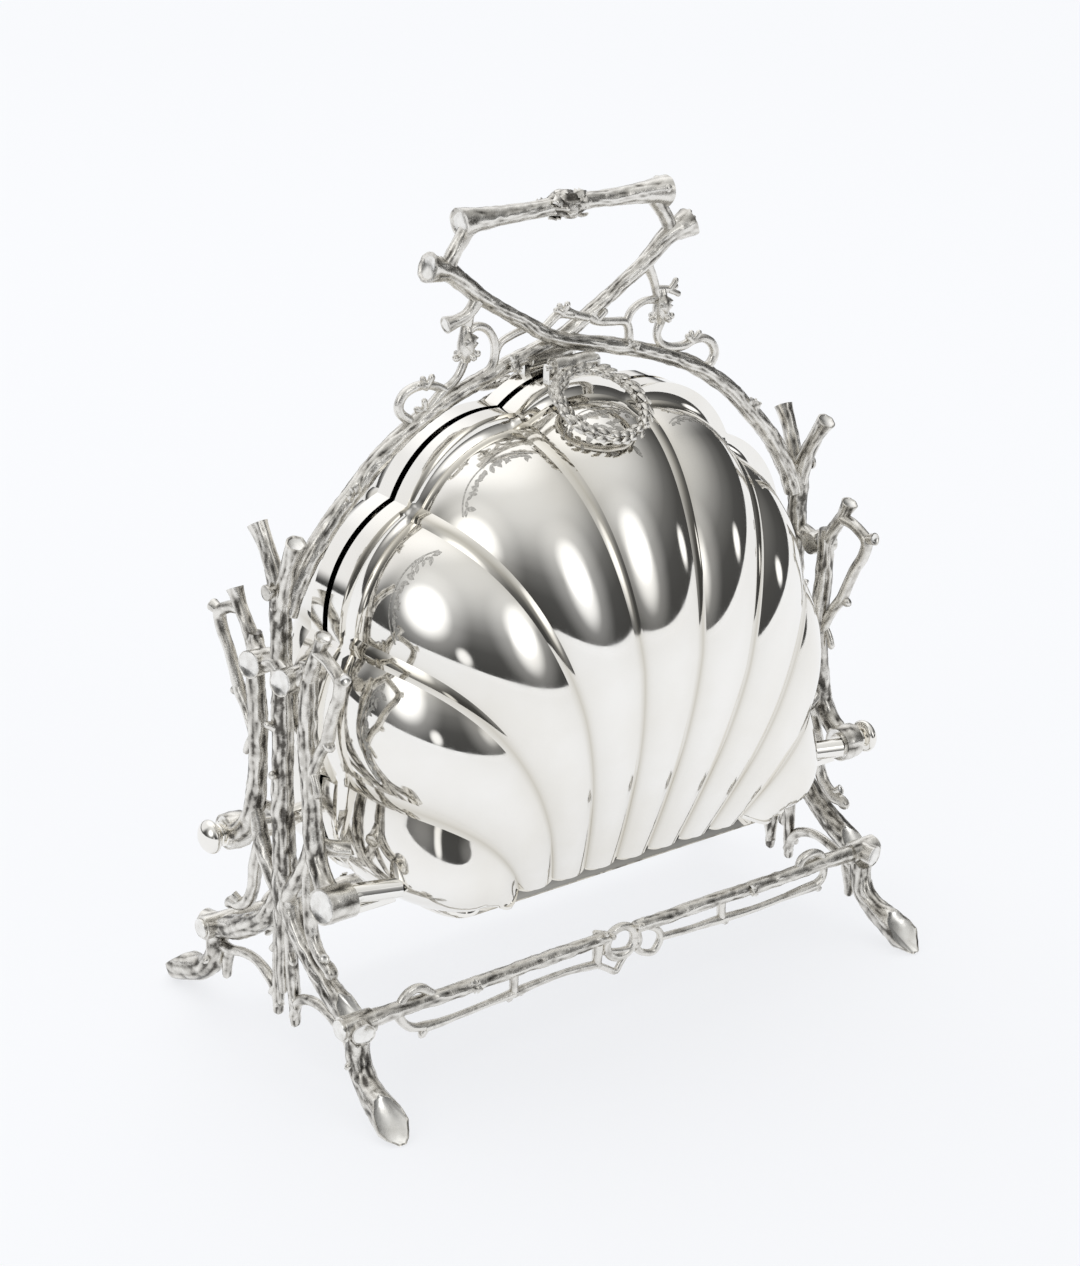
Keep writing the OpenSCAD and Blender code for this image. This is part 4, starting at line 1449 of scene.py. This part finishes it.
@dataclass
class Stretcher(Casting):
    """A low rail between the legs: a branch over a thin twig, with posts, curls and a ring."""

    y: float = -45.3
    ring: Pair = (-1.8, 29.3)
    ring_size: Pair = (6.4, 5.9)

    def boughs(self) -> list[Bough]:
        """Lists the branches of the rail.

        Returns:
            The branches.
        """
        b, thin = Bough, partial(Bough, bark=0.22, pitch=0.8)
        at, worn = partial(flat, y=self.y), Cut.ROUND
        (x, z), (wide, high) = self.ring, self.ring_size
        ring = [(x + wide * math.cos(a), z + high * math.sin(a))
                for a in np.linspace(0, math.tau, 19)]
        return numbered(
            101,
            # left rail
            b(at((-112.5, 32.8), (-100, 33), (-70, 32.4), (-40, 32.9), (-20, 32.8), (-8.4, 33.4)),
              (6.2, 5.4, 5.2, 5, 5.2, 4.6), bark=0.6),
            # right rail
            b(at((5, 33.2), (20, 32.8), (46, 33), (75, 32.5), (100, 33), (112.5, 32.8)),
              (4.6, 5, 5, 5.2, 5.4, 6.2), bark=0.6),
            # middle ring
            b(at(*ring), (3.4, 3.4), bark=0.3, pitch=0.8),
            # left drop
            thin(at((-100, 33.4), (-98.6, 28.6), (-94, 24.2), (-86, 22.4)), (4, 3.2, 3.2, 3.6)),
            # lower twig, left end
            thin(at((-89, 22.6), (-81, 22.2), (-67, 22.7), (-50, 23.5)), (4, 2.8, 2.7, 3.6)),
            # lower twig, left
            thin(at((-50, 23.5), (-40, 24.2), (-26, 24.5), (-13, 23.4)), (3.6, 2.8, 2.8, 3.2)),
            # curl under the ring
            thin(at((-13, 23.4), (-8, 20.4), (-3.8, 17.8), (-1.4, 20.6), (2.4, 24.6), (5.8, 25.8)),
                 (2.8, 2.4, 2.6, 2.4, 2.6, 3)),
            # left post of the ring
            b(at((-12.4, 31.6), (-12.4, 24)), (4.2, 3.6), bark=0.3),
            # bar of the ring
            thin(at((-9.6, 27.4), (-2, 25.6), (4.4, 25)), (2.6, 2.5, 2.8)),
            # right post of the ring
            thin(at((5.6, 32.6), (7, 27.4), (5.4, 24.4)), (2.8, 2.6, 3)),
            # right curl
            thin(at((8.4, 32.6), (14.4, 29.8), (17.2, 25.8), (14, 20.6), (8.6, 21.8), (5.4, 24.6)),
                 (2.6, 2.4, 2.9, 2.8, 2.6, 2.8)),
            # lower twig, right
            thin(at((17, 25.4), (32, 24.4), (46.4, 24)), (2.9, 2.7, 3.6)),
            # lower twig, right end
            thin(at((46.4, 24), (62, 23.4), (78, 23.8), (93, 24.2)), (3.6, 2.7, 2.7, 4.2)),
            # left post
            b(at((-50, 31.6), (-50, 23.6)), (3.4, 3.2), bark=0.3),
            # right post
            b(at((46.4, 31.6), (46.4, 24)), (3.4, 3.2), bark=0.3),
            # right end curl
            b(at((93, 24), (97, 26.6), (97.8, 31), (96, 36.2), (91, 38.6), (86, 37.4), (84, 33.6)),
              (3.6, 3, 3, 3.2, 3.4, 3.4, 3), bark=0.3),
            # left end curl
            b(at((-99.4, 31), (-98.4, 35.4), (-95, 38.2), (-90.4, 38.4), (-85, 34.4)),
              (3.6, 3.4, 3.4, 3.4, 3.2), bark=0.3),
            # right spur
            b(at((93, 24.4), (96.4, 21.6)), (3.4, 2.6), end=worn, bark=0.2),
            # left spur
            b(at((-88, 22.4), (-90.6, 18.8)), (3.4, 2.8), end=worn, bark=0.2),
            # spur left of the left post
            b(at((-51, 24), (-52.4, 20.6)), (3, 2.4), end=worn, bark=0.2),
            # spur right of the left post
            b(at((-49, 24), (-45.8, 22)), (3, 2.4), end=worn, bark=0.2),
            # spur at the right post
            b(at((47, 24), (49.8, 21.4)), (3, 2.4), end=worn, bark=0.2),
        )

    def build(self, name: str) -> Obj:
        """Models the front rail.

        Args:
            name: name of the piece.

        Returns:
            The piece.
        """
        leaves = self.tufts((0, -1, 0.3), ((-70, self.y - 2, 33), (1, 0, 0.1), 3, 60, 0.7),
                            ((62, self.y - 2, 33), (-1, 0, 0.1), 3, 60, 0.7))
        buds = []
        for k, x, z, seed in ((-1, -8, 34, 123), (1, 4.4, 33.6, 127)):
            buds += self.fingers((x, self.y, z), (k, -0.5, 0.3), (-0.2 * k, 0.3, 1), 4, 130, 5.4,
                                 2.3, seed)
        return self.cast(name, self.boughs() + buds, leaves)


@dataclass
class Wreath(Casting):
    """Lift ring of leaves and berries that hangs on a barrel."""

    axis: Point = (0.0, -7.0, 237.5)
    reach: float = 19.2
    slope: float = 32.0
    radius: float = 15.9
    points: int = 41
    girth: float = 3.2
    barrel: float = 8.6
    barrel_girth: Point = (6.6, 6.2, 6.6)
    leaves: int = 26
    leaf_rows: Sequence[Point] = ((0.75, 0.3, 0.74), (-0.75, 0.3, 0.66), (0.05, 1.2, 0.70))
    berry: float = 0.95
    berry_lift: float = 1.6
    berry_relief: float = 0.6
    berry_turn: float = 0.14
    berry_shift: float = 0.6
    dimple: Pair = (0.1, -0.2)
    seed: int = 133
    place_jitter: float = 0.03
    way_jitter: float = 0.15
    scale_jitter: Pair = (0.85, 1.12)
    way_turn: float = 0.05
    way_shift: float = 1.5
    splay: float = 0.32
    lift: float = 0.18
    tilt: float = 0.9

    def build(self, name: str) -> Obj:
        """Models the ring of the front shell.

        Args:
            name: name of the piece.

        Returns:
            The piece.
        """
        a = math.radians(self.slope)
        down = Vector((0, -math.cos(a), -math.sin(a)))
        out = Vector((0, -math.sin(a), math.cos(a)))
        centre = Vector(self.axis) + down * self.reach

        def on_ring(turn: float, radius: float = self.radius, lift: float = 0.0) -> Vector:
            """Returns a place on the ring, at a turn, a radius and a lift off its plane."""
            sideways = Vector((1, 0, 0)) * radius * math.cos(turn)
            return centre + sideways + down * radius * math.sin(turn) + out * lift

        turns = np.linspace(-math.pi / 2, 1.5 * math.pi, self.points)
        core = Bough([tuple(on_ring(t)) for t in turns], (self.girth, self.girth), bark=0.4,
                     seed=131, pitch=0.9)
        _, y, z = self.axis
        barrel = Bough([(x, y, z) for x in (-self.barrel, 0, self.barrel)], self.barrel_girth,
                       Cut.SAWN, Cut.SAWN, bark=0.45, flare=1.05, seed=132)
        bits = []
        rng = np.random.default_rng(self.seed)
        places = np.linspace(0, math.tau, self.leaves + 1)[:-1]
        for i, t in enumerate(places + rng.normal(0, self.place_jitter, self.leaves)):
            ahead = (on_ring(t + 0.1) - on_ring(t)).normalized()
            side = (on_ring(t, 1) - on_ring(t, 0)).normalized()
            for way, lift, scale in self.leaf_rows:
                way += self.way_jitter * rng.standard_normal()
                scale *= rng.uniform(*self.scale_jitter)
                spot = on_ring(t + self.way_turn * way, self.radius + self.way_shift * way, lift)
                bits.append(self.pose(spot, ahead + side * way * self.splay + out * self.lift,
                                      out + side * way * self.tilt, scale))
            if i % 2:
                radius = self.radius + self.berry_shift * (-1) ** (i // 2)
                bits.append(self.add_berry(on_ring(t + self.berry_turn, radius, self.berry_lift)))
        return self.cast(name, [core, barrel], bits)

    def add_berry(self, at: Vector) -> Obj:
        """Models a berry with a dimple.

        Args:
            at: its middle.

        Returns:
            The berry.
        """
        berry = primitive(bpy.ops.mesh.primitive_uv_sphere_add, segments=8, ring_count=6,
                          radius=self.berry * MM, location=at * MM)
        with Bench(berry) as bench:
            bench.pick(Element.FACE, lambda f: len(f.verts) == 3 and f.normal.z > 0)
            bpy.ops.mesh.inset(thickness=self.dimple[0] * MM, depth=self.dimple[1] * MM,
                               use_even_offset=False)
        store(berry, np.full(len(berry.data.vertices), self.berry_relief))
        dress(berry, self.finishes.cast, self.finishes.sawn)
        return berry


# ---------------------------------------------------------------- turned and small pieces

def turned(name: str, profile: Sequence[Pair], at: Point, finish: Material,
           steps: int = 40, sharp: float = 32.0) -> Obj:
    """Turns a profile about a line along X.

    Args:
        name: name of the piece.
        profile: places along X and radii, from the axis and back to it.
        at: where X = 0 of the profile lies.
        finish: its material.
        steps: faces round the piece.
        sharp: angle of the edges that stay sharp, in degrees.

    Returns:
        The piece.
    """
    piece = primitive(bpy.ops.mesh.primitive_circle_add, vertices=len(profile))
    piece.name = name
    place_vertices(piece, np.array([(at[0] + x, at[1], at[2] + r) for x, r in profile]))
    with Bench(piece) as bench:
        bpy.ops.mesh.spin(steps=steps, angle=math.tau, center=Vector(at) * MM, axis=(1, 0, 0))
        bench.pick_all()
        bpy.ops.mesh.remove_doubles(threshold=2e-6)
        bpy.ops.mesh.delete_loose()
        bench.face_outwards()
    smooth(piece, sharp)
    dress(piece, finish)
    return piece


@dataclass
class PivotKnob:
    """Turned knob of a pivot pin: a ringed neck and a mushroom cap."""

    place: Point = (119.7, -34.0, 74.4)
    collar: Sequence[Pair] = ((0, 0), (0, 4.2), (0.3, 4.6), (1.0, 4.6), (1.3, 4.2), (1.3, 0))
    cap: Sequence[Pair] = (
        (1.4, 0), (1.4, 3.0), (1.8, 3.0), (2.1, 3.9), (2.5, 4.1), (2.9, 3.9), (3.2, 3.0),
        (3.6, 3.0), (3.9, 4.4), (4.3, 5.5), (4.9, 6.1), (5.7, 6.3), (6.6, 6.1), (7.5, 5.5),
        (8.4, 4.5), (9.1, 3.3), (9.6, 1.7), (9.8, 0))

    def build(self, finishes: Finishes) -> tuple[Obj, Obj]:
        """Models the knob of the front pin.

        Args:
            finishes: the materials.

        Returns:
            The knob, and the collars of both pins.
        """
        collar = turned("pivot_collar_rings", self.collar, self.place, finishes.polished)
        cap = turned("front_knob_cap", self.cap, self.place, finishes.polished)
        return cap, join("pivot_collar_rings", [collar, duplicate(collar, "collar")])


@dataclass
class ScrewHeads:
    """Low domed heads of the frame's screws on both sides, each with a turned rim."""

    node: str
    radius: float
    seats: Sequence[Point]
    relief: float = 0.55
    profile: Sequence[Pair] = (
        (-3, 0), (-3, 0.6), (0, 0.62), (0, 0.97), (0.25, 1.0), (0.9, 1.0), (1.15, 0.95),
        (1.25, 0.85), (1.15, 0.78), (1.3, 0.6), (1.45, 0.3), (1.5, 0))

    def build(self, finish: Material) -> Obj:
        """Models the heads on the right trestle and turns copies to the left one.

        Args:
            finish: their material.

        Returns:
            The piece.
        """
        profile = [(x, r * self.radius) for x, r in self.profile]
        heads = [turned(self.node, profile, seat, finish) for seat in self.seats]
        for head in heads:
            store(head, np.full(len(head.data.vertices), self.relief))
        heads += [duplicate(head, self.node) for head in heads]
        return join(self.node[:-1] + "_heads", heads)


@dataclass
class HingeTube:
    """Faceted tube at a lower corner of a shell, with a thin bar under it."""

    facets: int = 10
    turn: float = 0.31
    swell: float = 1.03
    lip: float = 0.9
    bore: Pair = (0.2, -2.2)
    edge: float = 0.35
    bar: Pair = (1.8, 2.6)
    bar_drop: float = 5.0
    bar_short: float = 2.0
    bar_edge: float = 0.3
    square: float = 0.9
    along: float = 0.8
    sharp: float = 22.0

    def build(self, node: str, finishes: Finishes) -> Obj:
        """Models the tube over the box of its node.

        Args:
            node: name of the tube's node.
            finishes: the materials.

        Returns:
            The piece.
        """
        low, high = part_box(node)
        middle, size = (low + high) / 2, high - low
        tube = primitive(bpy.ops.mesh.primitive_cylinder_add, vertices=self.facets,
                         radius=size.z / 2 * self.swell, depth=size.x, location=middle,
                         rotation=(self.turn, math.pi / 2, 0))
        with Bench(tube) as bench:
            bench.pick(Element.FACE, lambda f: abs(f.normal.x) > self.square)
            bpy.ops.mesh.inset(thickness=self.lip * MM)
            bpy.ops.mesh.inset(thickness=self.bore[0] * MM, depth=self.bore[1] * MM)
            bench.pick(Element.EDGE, lambda e: abs((e.verts[0].co - e.verts[1].co).x)
                       > size.x * self.along)
            bpy.ops.mesh.bevel(offset=self.edge * MM, segments=2, affect="EDGES")
        bar = primitive(bpy.ops.mesh.primitive_cube_add, size=1,
                        location=middle - Vector((0, 0, self.bar_drop * MM)),
                        scale=(size.x - self.bar_short * MM, self.bar[0] * MM, self.bar[1] * MM))
        with Bench(bar):
            bpy.ops.mesh.bevel(offset=self.bar_edge * MM, segments=2, affect="EDGES")
        piece = join(node + "_facets", [tube, bar])
        smooth(piece, self.sharp)
        dress(piece, finishes.polished)
        return piece


@dataclass
class Engraving:
    """Arcs and leaf sprays on the heads of the lobes, as a matt inlay a hair above the silver."""

    shell: ShellHalf
    lift: float = 0.05
    thick: float = 0.03
    seed: int = 11
    lobe_mm: float = 42.0
    row_mm: float = 88.0
    arc_half: float = 0.36
    arc_row: float = 0.17
    arc_width: float = 0.006
    arc_taper: float = 0.985
    bow: Pair = (0.9, 2.4)
    spray_half: float = 0.3
    spray_row: float = 0.19
    spray_count: int = 13
    spray_turn: float = 0.7
    spray_jitter: float = 0.5
    spray_length: Pair = (2.2, 1.4)
    middle_count: int = 26
    middle_spread: float = 0.13
    middle_row: Pair = (0.29, 0.04)
    middle_turn: float = 2.0
    middle_length: Pair = (2.4, 2.0)
    blade_width: float = 0.24
    blade_ends: Pair = (0.02, 0.98)
    blade_points: int = 5
    arc_points: int = 25
    lobes: int = 3
    sharp: float = 40.0

    def lay(self, places: np.ndarray) -> Obj:
        """Lays a patch on the shell.

        Args:
            places: rows of lobe and row values.

        Returns:
            The patch.
        """
        points = [self.shell.lobed(np.array([s]), float(row), self.lift)[0]
                  for s, row in places.reshape(-1, 2)]
        return patch("engraving", np.array(points).reshape(*places.shape[:2], 3))

    def bowed(self, s: float | np.ndarray) -> float | np.ndarray:
        """Returns how far an arc falls at a distance from the ridge of its lobe."""
        return self.bow[0] * np.abs(s) ** self.bow[1]

    def arc(self, lobe: int) -> Obj:
        """Lays a line round the head of a lobe.

        Args:
            lobe: the lobe, 0 in the middle.

        Returns:
            The line.
        """
        s = np.linspace(-self.arc_half, self.arc_half, self.arc_points)
        row = self.arc_row + self.bowed(s)
        return self.lay(np.stack([np.stack([lobe + s, row], -1),
                                  np.stack([lobe + s * self.arc_taper, row + self.arc_width], -1)]))

    def blade(self, s: float, row: float, turn: float, length: float) -> Obj:
        """Lays a pointed leaf.

        Args:
            s: lobe value of its stalk.
            row: row value of its stalk.
            turn: angle from the lobe's length.
            length: its length.

        Returns:
            The leaf.
        """
        t = np.linspace(0, 1, self.blade_points)
        half = self.blade_width * length * np.sin(math.pi * np.clip(t, *self.blade_ends))
        rows = []
        for side in (-1, 1):
            u = length * t * math.sin(turn) + side * half * math.cos(turn)
            v = length * t * math.cos(turn) - side * half * math.sin(turn)
            rows.append(np.stack([s + u / self.lobe_mm, row + v / self.row_mm], -1))
        return self.lay(np.stack(rows))

    def build(self, name: str, finishes: Finishes) -> Obj:
        """Lays the engraving of the front shell.

        Args:
            name: name of the piece.
            finishes: the materials.

        Returns:
            The piece.
        """
        rng = np.random.default_rng(self.seed)
        bits = []
        for lobe in range(-self.lobes, self.lobes + 1):
            bits.append(self.arc(lobe))
            for k in np.linspace(-self.spray_half, self.spray_half, self.spray_count):
                row = self.spray_row + self.bowed(k)
                for side in (-1, 1):
                    turn = side * self.spray_turn + self.spray_jitter * rng.standard_normal()
                    length = self.spray_length[0] + self.spray_length[1] * rng.random()
                    bits.append(self.blade(lobe + k, row, turn, length))
        for _ in range(self.middle_count):
            s = rng.normal(0, self.middle_spread)
            row = self.middle_row[0] + self.middle_row[1] * rng.standard_normal()
            turn = rng.uniform(-self.middle_turn, self.middle_turn)
            length = self.middle_length[0] + self.middle_length[1] * rng.random()
            bits.append(self.blade(s, row, turn, length))
        piece = join(name, bits)
        apply_modifier(piece, "SOLIDIFY", thickness=self.thick * MM, offset=0)
        smooth(piece, self.sharp)
        dress(piece, finishes.engraved)
        return piece


# ---------------------------------------------------------------- studio

@dataclass(frozen=True)
class Glow:
    """A soft light in the surround: its azimuth from the front, elevation and widths in degrees."""

    azimuth: float
    elevation: float
    core: float
    edge: float
    strength: float = 1.0

    def level(self, nodes: Nodes, way: Socket) -> Socket:
        """Lights the surround.

        Args:
            nodes: nodes of the surround.
            way: directions from the box.

        Returns:
            How bright the light is in each direction.
        """
        a, e = math.radians(self.azimuth), math.radians(self.elevation)
        towards = math.sin(a) * math.cos(e), -math.cos(a) * math.cos(e), math.sin(e)
        facing = nodes.add("ShaderNodeVectorMath", {0: way, 1: towards}, operation="DOT_PRODUCT")
        limits = math.cos(math.radians(self.edge)), math.cos(math.radians(self.core))
        return nodes.span(facing.outputs["Value"], limits, (0.0, self.strength), ease=True)


@dataclass
class Studio:
    """Pale floor, a surround that is white behind and dark in front, a lamp and the camera."""

    eye: Point = (-604.4, -776.2, 530.3)
    forward: Point = (0.5662, 0.7349, -0.3733)
    up: Point = (0.2125, 0.3074, 0.9275)
    lens: float = 83.46
    sensor: float = 36.0
    nearest: float = 0.02
    floor_colour: Point = (0.90, 0.91, 0.93)
    floor_glow: Point = (0.955, 0.965, 0.99)
    floor_share: Pair = (0.78, 1.0)
    floor_fade: Pair = (0.9, 3.4)
    floor_reach: float = 60.0
    rays: Sequence[str] = ("Is Camera Ray", "Is Glossy Ray", "Is Transmission Ray")
    rise: Sequence[Pair] = ((0.0, 0.06), (0.22, 0.08), (0.40, 0.16), (0.54, 0.32), (0.68, 0.54),
                            (0.82, 0.72), (1.0, 0.84))
    rise_tint: Point = (1.0, 1.0, 0.99)
    backdrop: Point = (0.90, 0.90, 0.909)
    behind: Glow = Glow(178, 32, 41.253, 61.8794)
    horizon: Pair = (0.02, 0.15)
    glows: Sequence[Glow] = (
        Glow(-75, 27, 0, 22, 1.1), Glow(-75, 27, 8, 36, 0.3), Glow(12, 28, 0, 16, 0.8),
        Glow(12, 19, 0, 16, 0.8), Glow(12, 24, 8, 32, 0.25), Glow(68, 8, 1, 6, 1.4),
        Glow(-47, 5, 1, 7), Glow(167, 66, 18, 42, 0.3))
    lamp_at: Point = (0.2, 0.9, 2.2)
    lamp_aim: Point = (0, 0, 0.1)
    lamp_size: Pair = (2.9, 2.3)
    lamp_power: float = 17.0

    def build(self) -> None:
        """Makes the camera, the floor, the surround and the lamp."""
        self.set_camera()
        self.lay_floor()
        self.set_surround()
        self.hang_lamp()
        bpy.context.scene.view_settings.view_transform = "Standard"

    def set_camera(self) -> None:
        """Places the camera."""
        data = bpy.data.cameras.new("camera")
        data.lens, data.sensor_width, data.clip_start = self.lens, self.sensor, self.nearest
        camera = bpy.data.objects.new("camera", data)
        forward = Vector(self.forward).normalized()
        right = forward.cross(Vector(self.up)).normalized()
        turn = Matrix((right, right.cross(forward), -forward)).transposed().to_4x4()
        camera.matrix_world = Matrix.Translation(Vector(self.eye) * MM) @ turn
        bpy.context.scene.collection.objects.link(camera)
        bpy.context.scene.camera = camera

    def lay_floor(self) -> None:
        """Lays a wide floor that keeps the shadows and looks pale, also in the silver."""
        floor = primitive(bpy.ops.mesh.primitive_circle_add, vertices=96, radius=self.floor_reach,
                          fill_type="NGON")
        floor.name = "floor"
        material = bpy.data.materials.new("pale_floor")
        material.use_nodes = True
        nodes = Nodes(material.node_tree)
        nodes.tree.nodes.clear()
        place = nodes.add("ShaderNodeTexCoord").outputs["Object"]
        reach = nodes.add("ShaderNodeVectorMath", {0: place}, operation="LENGTH").outputs["Value"]
        share = nodes.span(reach, self.floor_fade, self.floor_share, ease=True)
        path = nodes.add("ShaderNodeLightPath")
        seen = 0.0
        for ray in self.rays:
            seen = nodes.math("MULTIPLY_ADD", path.outputs[ray], share, seen)
        diffuse = nodes.add("ShaderNodeBsdfDiffuse", {"Color": (*self.floor_colour, 1)})
        glow = nodes.add("ShaderNodeEmission", {"Color": (*self.floor_glow, 1)})
        mix = nodes.add("ShaderNodeMixShader",
                        {"Fac": seen, 1: diffuse.outputs[0], 2: glow.outputs[0]})
        nodes.add("ShaderNodeOutputMaterial", {"Surface": mix.outputs[0]})
        floor.data.materials.append(material)

    def set_surround(self) -> None:
        """Sets a surround that is dark low in front, lighter above, white behind, with glows."""
        world = bpy.data.worlds.new("surround")
        bpy.context.scene.world = world
        world.use_nodes = True
        nodes = Nodes(world.node_tree)
        nodes.tree.nodes.clear()
        way = nodes.add("ShaderNodeTexCoord").outputs["Generated"]
        height = nodes.add("ShaderNodeSeparateXYZ", {0: way}).outputs["Z"]
        stops = [(at, tuple(level * v for v in self.rise_tint)) for at, level in self.rise]
        behind = nodes.math("MULTIPLY", self.behind.level(nodes, way),
                            nodes.span(height, self.horizon, (0.0, 1.0), ease=True))
        light = nodes.mix(behind, nodes.ramp(height, stops), (*self.backdrop, 1))
        for glow in self.glows:
            light = nodes.mix(1.0, light, glow.level(nodes, way), "ADD")
        around = nodes.add("ShaderNodeBackground", {"Color": light})
        nodes.add("ShaderNodeOutputWorld", {"Surface": around.outputs[0]})

    def hang_lamp(self) -> None:
        """Hangs a soft lamp above, which a glow of the surround stands for in the silver."""
        data = bpy.data.lights.new("top_softbox", "AREA")
        data.shape = "ELLIPSE"
        data.size, data.size_y = self.lamp_size
        data.energy = self.lamp_power
        lamp = bpy.data.objects.new("top_softbox", data)
        lamp.location = self.lamp_at
        lamp.visible_glossy = False
        aim = Vector(self.lamp_aim) - Vector(self.lamp_at)
        lamp.rotation_euler = aim.to_track_quat("-Z", "Y").to_euler()
        bpy.context.scene.collection.objects.link(lamp)


# ---------------------------------------------------------------- the box

def opposite(name: str) -> str:
    """Returns the name of the same thing after half a turn, such as rear for front."""
    return "_".join(OPPOSITE.get(word, word) for word in name.split("_"))


def hang(piece: Obj, body: str, slot: str, *nodes: str) -> None:
    """Hangs a piece on a body and reports it.

    Args:
        piece: the finished piece.
        body: the body that it moves with.
        slot: not used.
        nodes: nodes that it stands for.
    """
    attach(piece, body)
    if nodes:
        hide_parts(*nodes)
    log.info("%s: %d faces on %s", piece.name, len(piece.data.polygons), body)


def hang_pair(piece: Obj, body: str, slot: str, *nodes: str) -> None:
    """Hangs a piece and its copy, half a turn on, each on its body.

    Args:
        piece: the finished piece.
        body: the body that it moves with.
        slot: not used.
        nodes: nodes that the piece stands for.
    """
    twin = duplicate(piece, opposite(piece.name))
    hang(piece, body, slot, *nodes)
    hang(twin, opposite(body), slot, *(opposite(node) for node in nodes))


def main() -> None:
    """Builds the pieces in order, dresses the nodes that stay, and reports each piece."""
    logging.basicConfig(level=logging.INFO, format="%(name)s: %(message)s")
    finishes = Finishes()
    Studio().build()
    bright, cast = "bright_silver", "cast_silver"

    shell = ShellHalf()
    hang_pair(shell.build("front_shell_skin", finishes), "front_half", bright, "front_shell")
    leaf = Leaf().build(finishes)
    trestle = Trestle(finishes).build("right_trestle_casting")
    hang_pair(trestle, "frame", cast, "right_trestle")
    hang(Arch(finishes, leaf).build("arch_casting"), "frame", cast, "arch")
    hang(Grip(finishes, leaf).build("grip_casting"), "frame", cast, "handle_grip")
    rail = Stretcher(finishes, leaf).build("front_stretcher_casting")
    hang_pair(rail, "frame", cast, "front_stretcher")
    slim = Leaf(length=7.0, width=3.6, lobes=0.1, thick=0.5).build(finishes)
    wreath = Wreath(finishes, slim).build("front_wreath")
    hang_pair(wreath, "front_ring", cast, "front_wreath_ring")
    for pattern in (leaf, slim):
        bpy.data.objects.remove(pattern)

    cap, collars = PivotKnob().build(finishes)
    hang_pair(cap, "frame", bright, "front_knob")
    hang(collars, "frame", bright, "pivot_collars")
    rail_seats = (123.1, -45.3, 32.7), (123.1, 45.3, 32.7)
    for heads, finish in (
            (ScrewHeads("stretcher_screws", 3.7, rail_seats), finishes.sawn),
            (ScrewHeads("arch_screws", 2.8, [(120.9, 0, 176.75)]), finishes.cast)):
        hang(heads.build(finish), "frame", cast, heads.node)
    for node in ("front_left_hinge_tube", "front_right_hinge_tube"):
        hang_pair(HingeTube().build(node, finishes), "front_half", bright, node)
    hang_pair(Engraving(shell).build("front_engraving", finishes), "front_half", bright)

    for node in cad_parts.values():
        if not node.hide_render:
            slot = node.data.materials[0].name if node.data.materials else ""
            dress(node, finishes.sawn if "cast" in slot else finishes.polished)


if __name__ == "__main__":
    main()
